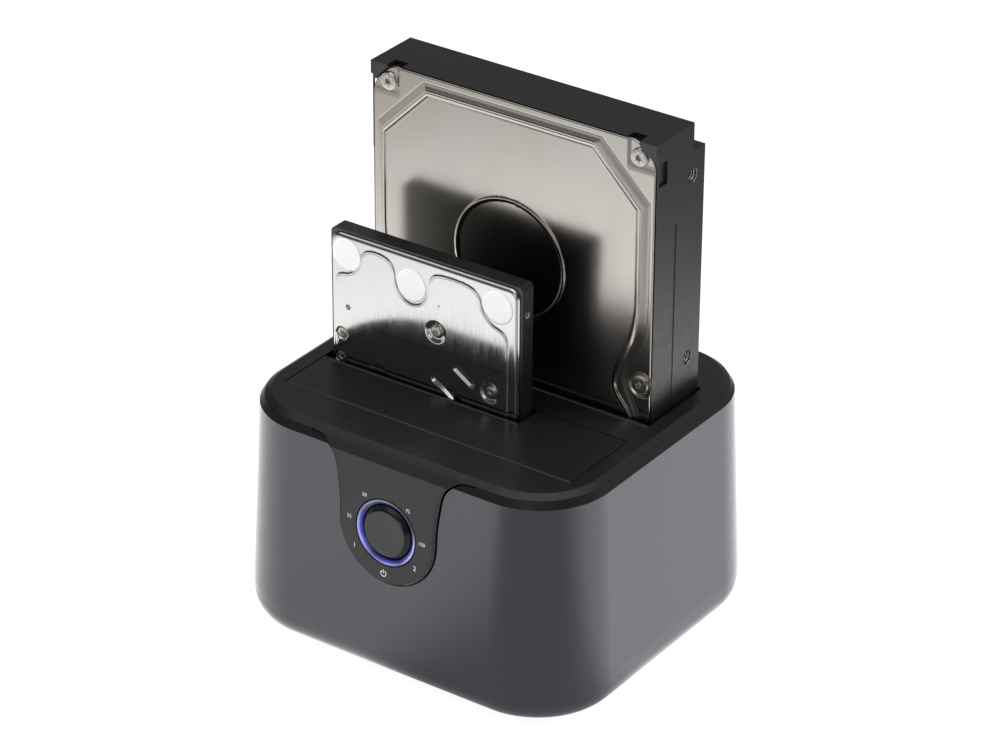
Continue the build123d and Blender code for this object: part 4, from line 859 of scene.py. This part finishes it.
# %% A sheet from a depth function
def pressed_sheet(name, columns, rows, depth_at, edge_at, roll, roll_depth, back, place, finishes, marks):
    """A grid pushed back by a depth function, with a rolled edge and a skirt; sizes in millimetres.

    The marks are named distances that the finish reads to draw lines finer than the grid."""
    x, z = np.meshgrid(columns, rows)
    edge = edge_at(x, z)
    slope_x, slope_z = slopes(edge_at, x, z)
    step = float(np.median(np.diff(columns)))
    corners = whole_squares(edge > roll - 0.45 * step)
    border = open_sides(corners, x.size)
    rim = np.unique(border)
    flat_x, flat_z = x.ravel().copy(), z.ravel().copy()
    out_x, out_z = -slope_x.ravel()[rim], -slope_z.ravel()[rim]
    shift = edge.ravel()[rim] - roll
    flat_x[rim] += out_x * shift
    flat_z[rim] += out_z * shift
    depth = depth_at(flat_x, flat_z)
    lean_x, lean_z = slopes(depth_at, flat_x, flat_z)
    used = np.unique(corners)
    number = np.full(x.size, -1)
    number[used] = np.arange(used.size)
    spots = [np.stack([flat_x, flat_z], 1)[used]]
    points = [np.stack([flat_x, depth, flat_z], 1)[used]]
    normals = [np.stack([lean_x, -np.ones_like(lean_x), lean_z], 1)[used]]
    faces = [number[corners]]
    ring_number = np.full(x.size, -1)
    ring_number[rim] = np.arange(rim.size)
    lower = number[border]
    total = used.size
    rounds = 5
    for turn in range(1, rounds + 2):
        angle = min(turn, rounds) / rounds * pi / 2
        deeper = depth[rim] + roll_depth * (1 - cos(angle)) if turn <= rounds else np.full(rim.size, back)
        reach = roll * sin(angle)
        spots.append(np.stack([flat_x[rim], flat_z[rim]], 1))
        points.append(np.stack([flat_x[rim] + out_x * reach, deeper, flat_z[rim] + out_z * reach], 1))
        normals.append(np.stack([out_x * sin(angle), -np.full(rim.size, cos(angle)), out_z * sin(angle)], 1))
        upper = total + ring_number[border]
        faces.append(np.stack([lower[:, 1], lower[:, 0], upper[:, 0], upper[:, 1]], 1))
        lower = upper
        total += rim.size
    points = np.concatenate(points) + np.array(place)
    normals = np.concatenate(normals)
    normals /= np.linalg.norm(normals, axis=1)[:, None]
    mesh = bpy.data.meshes.new(name)
    mesh.from_pydata((points * mm).tolist(), [], np.concatenate(faces).tolist())
    mesh.polygons.foreach_set("use_smooth", np.ones(len(mesh.polygons), bool))
    # The last row of faces takes the dark gasket finish, partly the real gasket and partly painted shade of the gap.
    mesh.polygons.foreach_set("material_index", np.arange(len(mesh.polygons)) >= len(mesh.polygons) - len(border))
    mesh.normals_split_custom_set_from_vertices(normals.tolist())
    for finish in finishes:
        mesh.materials.append(finish)
    spots = np.concatenate(spots)
    for mark, distance in marks.items():
        mesh.attributes.new(mark, "FLOAT", "POINT").data.foreach_set("value", distance(spots[:, 0], spots[:, 1]))
    print(f"{name}: {len(mesh.polygons)} faces")
    return link_piece(name, mesh)


# %% [markdown]
# ## The large drive's lid
# A flat flange runs round the lid. Inside it a broad shoulder climbs to a ridge, and a thin double
# step leads down from the ridge to the flat panel. The ridge is an octagon that swerves round the
# middle screws. The corner pads lie lower, so that the screw heads stay below the ridge, and a round
# bead marks the place over the motor.

# %% Outlines of the large lid
drive_floor = 20.6
large_lid_plane = 5.5
large_half_width = 50.2
large_lid_low, large_lid_high = 5.0, 146.6
large_lid_cut = 6.4
waist_screw_height = 68.0
large_screw_spots = [(side * across, up) for side in (-1, 1)
                     for across, up in ((44.6, 141.5), (46.6, waist_screw_height), (44.6, 12.5))]

outer_waist = [(48.75, 98), (48.6, 92), (48.0, 85.2), (46.1, 79.4), (43.7, 74.3), (42.4, 69.4), (43.1, 65.2),
               (45.1, 61.3), (47.1, 57), (48.5, 50), (48.75, 44)]
inner_waist = [(45.2, 98), (45.2, 92), (43.7, 83.6), (41.4, 78), (38.8, 72.2), (37.4, 66.6), (38.2, 62.8),
               (40.5, 60.3), (43.2, 56.6), (45, 50), (45.2, 43)]


def waisted_octagon(half, top, bottom, cut, waist, shift):
    """An upright octagon whose long sides swerve inwards round the middle screws."""
    top_corners = [(half - cut, top), (half, top - cut)]
    bottom_corners = [(half, bottom + cut), (half - cut, bottom)]
    right_side = np.vstack([top_corners, soften(waist), bottom_corners])
    left_side = right_side[::-1] * np.array([-1, 1])
    return np.vstack([right_side, left_side]) + np.array([shift, 0])


foot_outline = waisted_octagon(48.75, 144.5, 16.9, 17.0, outer_waist, 0.0)
ridge_outline = waisted_octagon(45.2, 140.6, 20.0, 15.8, inner_waist, -0.6)
print(len(foot_outline), "points in the outline of the large lid's shoulder")

# %% Distances and depths of the large lid
flange_depth, shoulder = 0.55, (-0.2, 2.7)
panel_depth, panel_step = 0.3, (-0.3, 0.6)
crest_height, crest_offset, crest_reach = 0.13, 1.0, 1.2
pad_depth, pad_side, pad_end = 0.5, (40.3, 41.7), (-1.2, 1.8)
pad_top, pad_bottom = 138.0, 16.0
dish_depth, dish_rise, dish_outset = 0.95, (2.9, 4.6), 1.012
bead_middle, bead_radius = (-0.2, 95.6), 19.2
bead_height, bead_inner, bead_outer = 0.3, (-0.9, 0.1), (0.2, 1.1)
waviness = 0.02


def large_edge(x, z):
    """Distance inwards from the lid's own outline, with its two top corners cut."""
    corner_radius = 0.8
    blend = 1.4
    cut = (large_half_width + large_lid_high - large_lid_cut - np.abs(x) - z) / sqrt(2)
    box = round_box(x, z, (-large_half_width, large_lid_low), (large_half_width, large_lid_high), corner_radius)
    mix = np.clip(0.5 + (cut - box) / (2 * blend), 0, 1)
    return cut * (1 - mix) + box * mix - blend * mix * (1 - mix)


def foot_distance(x, z):
    """Distance to the foot of the shoulder, positive inside."""
    return outline_distance(foot_outline, x, z)


def ridge_distance(x, z):
    """Distance to the ridge, positive inside."""
    return outline_distance(ridge_outline, x, z)


def waist_share(x, z):
    """One where the right ridge swerves, zero elsewhere."""
    return smooth_rise(z, 48, 58) * (1 - smooth_rise(z, 78, 96)) * (x > 0)


def bead_distance(x, z):
    """Distance to the round bead, positive outside."""
    return np.hypot(x - bead_middle[0], z - bead_middle[1]) - bead_radius


print("the shoulder stands", flange_depth, "mm above the flange and", panel_depth, "mm above the panel")

# %% Form of the large lid
def large_depth(x, z):
    """How far the large lid's surface lies behind its ridge."""
    depth = flange_depth * (1 - smooth_rise(foot_distance(x, z), *shoulder))
    inwards = ridge_distance(x, z)
    depth += panel_depth * smooth_rise(inwards, *panel_step)
    depth -= crest_height * (1 - smooth_rise(np.abs(inwards + crest_offset), 0.0, crest_reach))
    for border in (z - pad_top, pad_bottom - z):
        depth += pad_depth * smooth_rise(np.abs(x), *pad_side) * smooth_rise(border, *pad_end)
    for across, up in large_screw_spots:
        if up == waist_screw_height:
            dish = np.hypot(x - across * dish_outset, z - up)
            depth += dish_depth * (1 - smooth_rise(dish, *dish_rise))
    bead = bead_distance(x, z)
    depth -= bead_height * smooth_rise(bead, *bead_inner) * (1 - smooth_rise(bead, *bead_outer))
    depth += waviness * np.sin(x / 17.0 + 0.6) * np.sin(z / 23.0 + 1.1)
    return depth


print("the large lid's forms are up to", dish_depth, "mm deep")

# %% Press the large lid
grid_step = 0.42
hidden_top, hidden_step = 52, 1.0
large_roll, large_skirt = 0.45, 1.8
across = refined(-large_half_width, large_half_width, grid_step, (-45.65, 44.45))
upright = np.concatenate([np.arange(large_lid_low, hidden_top, hidden_step),
                          refined(hidden_top, large_lid_high, grid_step, (140.45,))])
large_marks = {"foot": foot_distance, "ridge": ridge_distance, "waist": waist_share}
large_lid = pressed_sheet("large_lid_pressing", across, upright, large_depth, large_edge, large_roll, large_roll,
                          large_skirt, (0, large_lid_plane, drive_floor), (lid_steel, gap_shade_gasket), large_marks)
stand_in(large_lid, "large_drive_lid")

# %% [markdown]
# ## The small drive's lid
# The small drive's lid is thinner and brighter. Its edge is rolled over, its panel stands a third of
# a millimetre above the border, and the border makes room for three round seals along the top. Two
# dished seats hold the screws of the panel, and slots stiffen the sheet beside them.

# %% Outlines of the small lid
small_left = -50.805
small_lid_plane = -16.5
small_width, small_length = 69.85, 100.2
small_roll, small_skirt = 1.2, 1.6
small_edge_inset = 0.8
small_seal_spots = [(6.55, 92.9), (30.7, 89.9), (61.85, 92.1)]
small_dish_spots = [(39.6, 77.1), (59.3, 63.0)]
small_corner_spots = [(4.6, 65.9), (3.9, 57.4), (4.6, 5.4), (65.2, 5.4), (65.2, 46.0)]

scallop = soften([(2.6, 80), (2.7, 84.0), (3.7, 86.3), (8.3, 87.0), (11.6, 90.8), (12.2, 94.8), (15.0, 97.0),
                  (21.4, 96.8), (24.4, 93.9), (24.9, 88.2), (28.3, 83.9), (33.2, 83.9), (36.6, 87.5), (37.2, 93.9),
                  (39.8, 96.8), (52.0, 96.7), (55.7, 93.8), (56.3, 89.6), (59.8, 85.8), (63.4, 84.9), (65.4, 83.0),
                  (65.6, 79)])
small_panel = np.vstack([scallop, [(65.6, 4.2), (2.6, 4.2)]])
long_groove = soften([(39.6, 61.4), (43.2, 59.6), (46.8, 56.8), (49.6, 53.2), (51.0, 48.6), (50.2, 43.4)])
short_groove = [(47.2, 67.2), (52.6, 63.7)]
print(len(small_panel), "points in the outline of the small lid's panel")

# %% Distances and depths of the small lid
border_depth, border_step = 0.3, (-0.35, 0.45)
dished_seat, corner_seat = (0.62, 2.2, 3.9), (0.8, 1.75, 2.3)
round_forms = [(across, up, *dished_seat) for across, up in small_dish_spots]
round_forms += [(across, up, *corner_seat) for across, up in small_corner_spots]
round_forms += [(7.2, 75.5, 1.1, 0.55, 0.85), (18.2, 56.6, 0.22, 2.8, 3.3), (60.3, 55.0, 0.5, 1.0, 1.6),
                (40.7, 86.1, 0.08, 0.1, 0.4)]
groove_forms = [(short_groove, 0.62, 0.35, 1.4), (long_groove, 0.75, 0.6, 1.95)]


def small_edge(x, z):
    """Distance inwards from the small lid's own outline."""
    inset, corner_radius = small_edge_inset, 3.2
    return round_box(x, z, (inset, inset), (small_width - inset, small_length - inset), corner_radius)


def panel_distance(x, z):
    """Distance to the edge of the raised panel, positive inside."""
    return outline_distance(small_panel, x, z)


def small_depth(x, z):
    """How far the small lid's surface lies behind its panel."""
    depth = border_depth * (1 - smooth_rise(panel_distance(x, z), *border_step))
    for across, up, deep, flat_radius, edge_radius in round_forms:
        depth = depth + deep * (1 - smooth_rise(np.hypot(x - across, z - up), flat_radius, edge_radius))
    for line, deep, flat_width, edge_width in groove_forms:
        depth = depth + deep * (1 - smooth_rise(line_distance(line, x, z), flat_width, edge_width))
    return depth + waviness * np.sin(x / 13.0 + 0.4) * np.sin(z / 15.0 + 0.3) + waviness


print(len(round_forms), "round forms and", len(groove_forms), "grooves in the small lid")

# %% Press the small lid
small_hidden_top, small_hidden_step = 50, 0.5
small_columns, small_rows = 263, 190
small_across = np.linspace(small_edge_inset, small_width - small_edge_inset, small_columns)
small_upright = np.concatenate([np.arange(small_edge_inset, small_hidden_top, small_hidden_step),
                                np.linspace(small_hidden_top, small_length - small_edge_inset, small_rows)])
small_lid = pressed_sheet("small_lid_pressing", small_across, small_upright, small_depth, small_edge, small_roll,
                          small_roll, small_skirt, (small_left, small_lid_plane, drive_floor), (bright_lid, gap_shade_gasket),
                          {"panel": panel_distance})
stand_in(small_lid, "small_drive_lid")

# %% [markdown]
# ## Seals
# A seal is a disc of white film, pressed down over a hole of the lid. Each is a round grid of points
# that takes its depth from the lid below, so it follows the rolled edge as real film does.

# %% Lay the seals
def small_surface(x, z):
    """The depth of the small lid, with the roll of its edge."""
    over = np.clip(small_roll - small_edge(x, z), 0, small_roll * 0.98)
    return small_depth(x, z) + small_roll - np.sqrt(small_roll ** 2 - over ** 2)


seal_radius = 5.4
seal_rings, seal_spokes = 8, 64
seal_lift = 0.05
film_thickness = 0.05
points, faces = [], []
for across, up in small_seal_spots:
    start = len(points)
    points.append((across, up))
    for ring in range(1, seal_rings + 1):
        for spoke in range(seal_spokes):
            angle = 2 * pi * spoke / seal_spokes
            points.append((across + seal_radius * ring / seal_rings * cos(angle),
                           up + seal_radius * ring / seal_rings * sin(angle)))
    for spoke in range(seal_spokes):
        after = (spoke + 1) % seal_spokes
        faces.append((start, start + 1 + spoke, start + 1 + after))
        for ring in range(seal_rings - 1):
            near = start + 1 + ring * seal_spokes
            far = near + seal_spokes
            faces.append((near + spoke, far + spoke, far + after, near + after))
flat = np.array(points)
film = small_surface(flat[:, 0], flat[:, 1]) - seal_lift
seal_mesh = bpy.data.meshes.new("seals")
seal_mesh.from_pydata([((px + small_left) * mm, (small_lid_plane + d) * mm, (pz + drive_floor) * mm)
                       for (px, pz), d in zip(flat, film)], [], faces)
seal_mesh.polygons.foreach_set("use_smooth", [True] * len(faces))
seal_mesh.materials.append(seal_film)
seals = link_piece("lid_seals", seal_mesh)
thickness = seals.modifiers.new("thickness", "SOLIDIFY")
thickness.thickness = film_thickness * mm
thickness.offset = -1
stand_in(bake(seals), "small_drive_seals")
print(len(small_seal_spots), "seals")

# %% [markdown]
# ## Screws
# The screws of the lids have a round head with a six-lobed socket. One screw is turned up as a
# profile swept round its axis; only the socket's wall follows the lobes. A geometry node tree then
# puts a copy on each seat and turns it by a random angle, because no one lines screws up.

# %% Turn up one screw
def make_screw(name, head_radius, head_height, socket_radius, socket_depth, shank_radius, shank_length):
    """A screw with its seat at the origin and its head towards -Y, in millimetres."""
    spokes = 48
    lobes, lobe_share = 6, 0.14
    edge = head_height * 0.3
    profile = [(socket_radius * 0.82, -head_height + socket_depth, 1), (socket_radius, -head_height + 0.05, 1),
               (socket_radius * 1.08, -head_height, 1), (head_radius - edge * 1.3, -head_height, 0),
               (head_radius - edge * 0.5, -head_height + edge * 0.25, 0), (head_radius, -head_height + edge, 0),
               (head_radius, 0, 0), (shank_radius, 0, 0), (shank_radius, shank_length, 0)]
    points = [(0, -head_height + socket_depth * 1.1, 0)]
    for radius, along, lobed in profile:
        for spoke in range(spokes):
            angle = 2 * pi * spoke / spokes
            reach = radius * (1 + lobe_share * lobed * cos(lobes * angle))
            points.append((reach * cos(angle), along, reach * sin(angle)))
    points.append((0, shank_length, 0))
    faces = []
    for spoke in range(spokes):
        after = (spoke + 1) % spokes
        faces.append((0, 1 + after, 1 + spoke))
        for ring in range(len(profile) - 1):
            near = 1 + ring * spokes
            far = near + spokes
            faces.append((near + spoke, near + after, far + after, far + spoke))
        last = 1 + (len(profile) - 1) * spokes
        faces.append((last + spoke, last + after, len(points) - 1))
    edit = bmesh.new()
    corners = [edit.verts.new(Vector(point) * mm) for point in points]
    for face in faces:
        edit.faces.new([corners[k] for k in face]).smooth = True
    bmesh.ops.recalc_face_normals(edit, faces=edit.faces)
    for side in edit.edges:
        side.smooth = side.calc_face_angle(0) < radians(35)
    mesh = bpy.data.meshes.new(name)
    edit.to_mesh(mesh)
    edit.free()
    return link_piece(name, mesh)


# %% A tree that sets one piece on every seat
def seat_tree():
    """Instances of an object on a mesh's points, each turned about Y by its own random angle."""
    tree = bpy.data.node_groups.new("set_on_seats", "GeometryNodeTree")
    face = tree.interface
    face.new_socket("Geometry", in_out="INPUT", socket_type="NodeSocketGeometry")
    face.new_socket("Piece", in_out="INPUT", socket_type="NodeSocketObject")
    face.new_socket("Seed", in_out="INPUT", socket_type="NodeSocketInt")
    face.new_socket("Finish", in_out="INPUT", socket_type="NodeSocketMaterial")
    face.new_socket("Geometry", in_out="OUTPUT", socket_type="NodeSocketGeometry")
    given = tree.nodes.new("NodeGroupInput")
    made = tree.nodes.new("NodeGroupOutput")
    piece = tree.nodes.new("GeometryNodeObjectInfo")
    angle = tree.nodes.new("FunctionNodeRandomValue")
    angle.data_type = "FLOAT"
    angle.inputs[3].default_value = 2 * pi
    turn = tree.nodes.new("ShaderNodeCombineXYZ")
    copies = tree.nodes.new("GeometryNodeInstanceOnPoints")
    real = tree.nodes.new("GeometryNodeRealizeInstances")
    coat = tree.nodes.new("GeometryNodeSetMaterial")
    link = tree.links.new
    link(given.outputs["Piece"], piece.inputs["Object"])
    link(given.outputs["Seed"], angle.inputs["Seed"])
    link(angle.outputs[1], turn.inputs["Y"])
    link(given.outputs["Geometry"], copies.inputs["Points"])
    link(piece.outputs["Geometry"], copies.inputs["Instance"])
    link(turn.outputs[0], copies.inputs["Rotation"])
    link(copies.outputs[0], real.inputs[0])
    link(real.outputs[0], coat.inputs["Geometry"])
    link(given.outputs["Finish"], coat.inputs["Material"])
    link(coat.outputs[0], made.inputs[0])
    return tree


on_seats = seat_tree()


def set_on_seats(name, template, seats, seed, finish):
    """One mesh that holds a copy of the template on every seat."""
    mesh = bpy.data.meshes.new(name)
    mesh.from_pydata([tuple(v * mm for v in seat) for seat in seats], [], [])
    piece = link_piece(name, mesh)
    rows = piece.modifiers.new("seats", "NODES")
    rows.node_group = on_seats
    values = {"Piece": template, "Seed": seed, "Finish": finish}
    for item in on_seats.interface.items_tree:
        if item.in_out == "INPUT" and item.name in values:
            rows[item.identifier] = values[item.name]
    bake(piece)
    bpy.data.objects.remove(template)
    print(f"{name}: {len(seats)} seats, {len(piece.data.polygons)} faces")
    return piece


# %% Set the lid screws
large_screw = {"head_radius": 2.95, "head_height": 1.35, "socket_radius": 0.95, "socket_depth": 1.2,
               "shank_radius": 1.2, "shank_length": 4.4}
small_screw = {"head_radius": 1.7, "head_height": 0.6, "socket_radius": 0.75, "socket_depth": 0.8,
               "shank_radius": 0.8, "shank_length": 3.0}
large_seat_depth, small_seat_depth, small_dish_seat_depth = 1.5, 1.0, 0.66
large_seed, small_seed = 3, 5

large_seats = [(across, large_lid_plane + large_seat_depth, drive_floor + up) for across, up in large_screw_spots]
large_screws = set_on_seats("large_lid_screws", make_screw("screw", **large_screw), large_seats, large_seed,
                            screw_steel)
stand_in(large_screws, "large_drive_screws")
small_seats = []
for across, up in small_corner_spots + small_dish_spots:
    seat_depth = small_dish_seat_depth if (across, up) in small_dish_spots else small_seat_depth
    small_seats.append((small_left + across, small_lid_plane + seat_depth, drive_floor + up))
small_screws = set_on_seats("small_lid_screws", make_screw("screw", **small_screw), small_seats, small_seed,
                            screw_steel)
stand_in(small_screws, "small_drive_screws")
print(len(large_seats) + len(small_seats), "lid screws")

# %% [markdown]
# ## The button and its ring of light
# Both are round, so both are turned about the button's axis from a profile. The ring is a funnel of
# milky plastic that slopes down to the button. The button's face is a shallow dish, and a slanted rim
# falls away from it at about 45 degrees: from the camera that rim is a wide dark band at the top and
# almost edge-on at the lower left. The tongue leans back like the wall it lies in, so everything is
# turned in the tongue's own axes.

# %% Axes of the tongue
lean = radians(2.7)
face_out = Vector((0, -cos(lean), sin(lean)))
face_up = Vector((0, sin(lean), cos(lean)))
face_right = Vector((1, 0, 0))
ring_height = ring_middle_height / mm
wall_half_depth = 54.7
tongue_proud = 1.2
face_depth = wall_half_depth + (rim_crease - ring_height) * tan(lean) + tongue_proud


def on_face(across, up, out=0.0):
    """A point in metres from millimetres across and up from the ring's middle, and out of the tongue."""
    middle = Vector((0, -face_depth, ring_height))
    return (middle + face_right * across + face_up * up + face_out * out) * mm


def turned(name, profile, spokes, finish, node):
    """Sweep a profile of radius and height about the button's axis."""
    edit = bmesh.new()
    rings = []
    for radius, out in profile:
        if radius == 0:
            rings.append([edit.verts.new(on_face(0, 0, out))])
        else:
            turns = [2 * pi * step / spokes for step in range(spokes)]
            rings.append([edit.verts.new(on_face(radius * cos(turn), radius * sin(turn), out)) for turn in turns])
    for near, far in zip(rings[:-1], rings[1:]):
        for k in range(spokes):
            after = (k + 1) % spokes
            loop = [near[k % len(near)], near[after % len(near)], far[after % len(far)], far[k % len(far)]]
            edit.faces.new(list(dict.fromkeys(loop))).smooth = True
    bmesh.ops.recalc_face_normals(edit, faces=edit.faces)
    for side in edit.edges:
        side.smooth = len(side.link_faces) == 2 and side.calc_face_angle(0) < radians(30)
    mesh = bpy.data.meshes.new(name)
    edit.to_mesh(mesh)
    edit.free()
    mesh.materials.append(finish)
    print(f"{name}: {len(mesh.polygons)} faces")
    return stand_in(link_piece(name, mesh), node)


# %% Turn the button and the ring
button_profile = [(0, -2.0), (8.5, -2.0), (8.5, -0.8), (8.47, -0.7), (8.38, -0.6), (7.9, -0.12), (7.45, 0.33),
                  (7.3, 0.45), (7.15, 0.52), (7.0, 0.55), (6.8, 0.56), (6.4, 0.55), (5.6, 0.52), (4.8, 0.48),
                  (4, 0.445), (2.6, 0.4), (1.3, 0.37), (0, 0.36)]
ring_profile = [(8.8, -2.0), (8.8, -0.95), (8.84, -0.88), (8.92, -0.83), (9.6, -0.46), (10.1, -0.12), (10.3, 0.02),
                (10.45, 0.06), (10.55, 0.02), (10.62, -0.1), (10.64, -0.3), (10.64, -2.0), (8.8, -2.0)]
round_steps = 128
turned("clone_button", button_profile, round_steps, button_black, "copy_button")
turned("ring_of_light", ring_profile, round_steps, milky_ring, "light_ring")

# %% [markdown]
# ## Marks on the tongue
# The real dock has printed marks round the ring. This model carries plain numbers in their place,
# for the share of a copy that is done and for the two bays, and the common sign for power. They are
# flat text made into thin mesh, a hair above the plastic like pad-printed ink.

# %% Print the marks
ink_height = 0.03
ink_thickness = 0.025
number_size, bay_number_size = 1.7, 2.3


def print_text(word, across, up, size):
    """A word as points and faces in the tongue's plane."""
    curve = bpy.data.curves.new("word", "FONT")
    curve.body = word
    curve.size = size
    curve.align_x = "CENTER"
    curve.align_y = "CENTER"
    word_piece = link_piece("word", curve)
    mesh = bpy.data.meshes.new_from_object(word_piece.evaluated_get(bpy.context.evaluated_depsgraph_get()))
    bpy.data.objects.remove(word_piece)
    corners = [on_face(across + v.co.x, up + v.co.y, ink_height) for v in mesh.vertices]
    return corners, [tuple(face.vertices) for face in mesh.polygons]


def print_sign(across, up, radius, stroke):
    """The power sign: a ring with a gap at the top and a bar in the gap."""
    corners, faces = [], []
    steps = 36
    gap = radians(28)
    bar_low, bar_high = 0.1, 1.2
    for k in range(steps + 1):
        angle = pi / 2 + gap + (2 * pi - 2 * gap) * k / steps
        for reach in (radius, radius - stroke):
            corners.append(on_face(across + reach * cos(angle), up + reach * sin(angle), ink_height))
    faces += [(2 * k, 2 * k + 2, 2 * k + 3, 2 * k + 1) for k in range(steps)]
    start = len(corners)
    for dx, dz in ((-0.5, bar_low), (0.5, bar_low), (0.5, bar_high), (-0.5, bar_high)):
        corners.append(on_face(across + dx * stroke, up + dz * radius, ink_height))
    faces.append((start, start + 1, start + 2, start + 3))
    return corners, faces


marks = [print_text(word, across, up, size) for word, across, up, size in (
    ("50", -8.0, 10.2, number_size), ("75", 7.8, 9.8, number_size), ("25", -13.4, 1.3, number_size),
    ("100", 13.0, 0.6, number_size), ("1", -11.3, -7.7, bay_number_size), ("2", 10.7, -8.3, bay_number_size))]
marks.append(print_sign(-0.5, -13.7, radius=1.1, stroke=0.3))
points, faces = [], []
for corners, loops in marks:
    faces += [tuple(len(points) + k for k in loop) for loop in loops]
    points += corners
ink_mesh = bpy.data.meshes.new("ink")
ink_mesh.from_pydata(points, [], faces)
ink_mesh.materials.append(white_ink)
ink = link_piece("tongue_marks", ink_mesh)
thin = ink.modifiers.new("thin", "SOLIDIFY")
thin.thickness = ink_thickness * mm
bake(ink)
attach(ink, "dock")
print(len(marks), "marks printed")
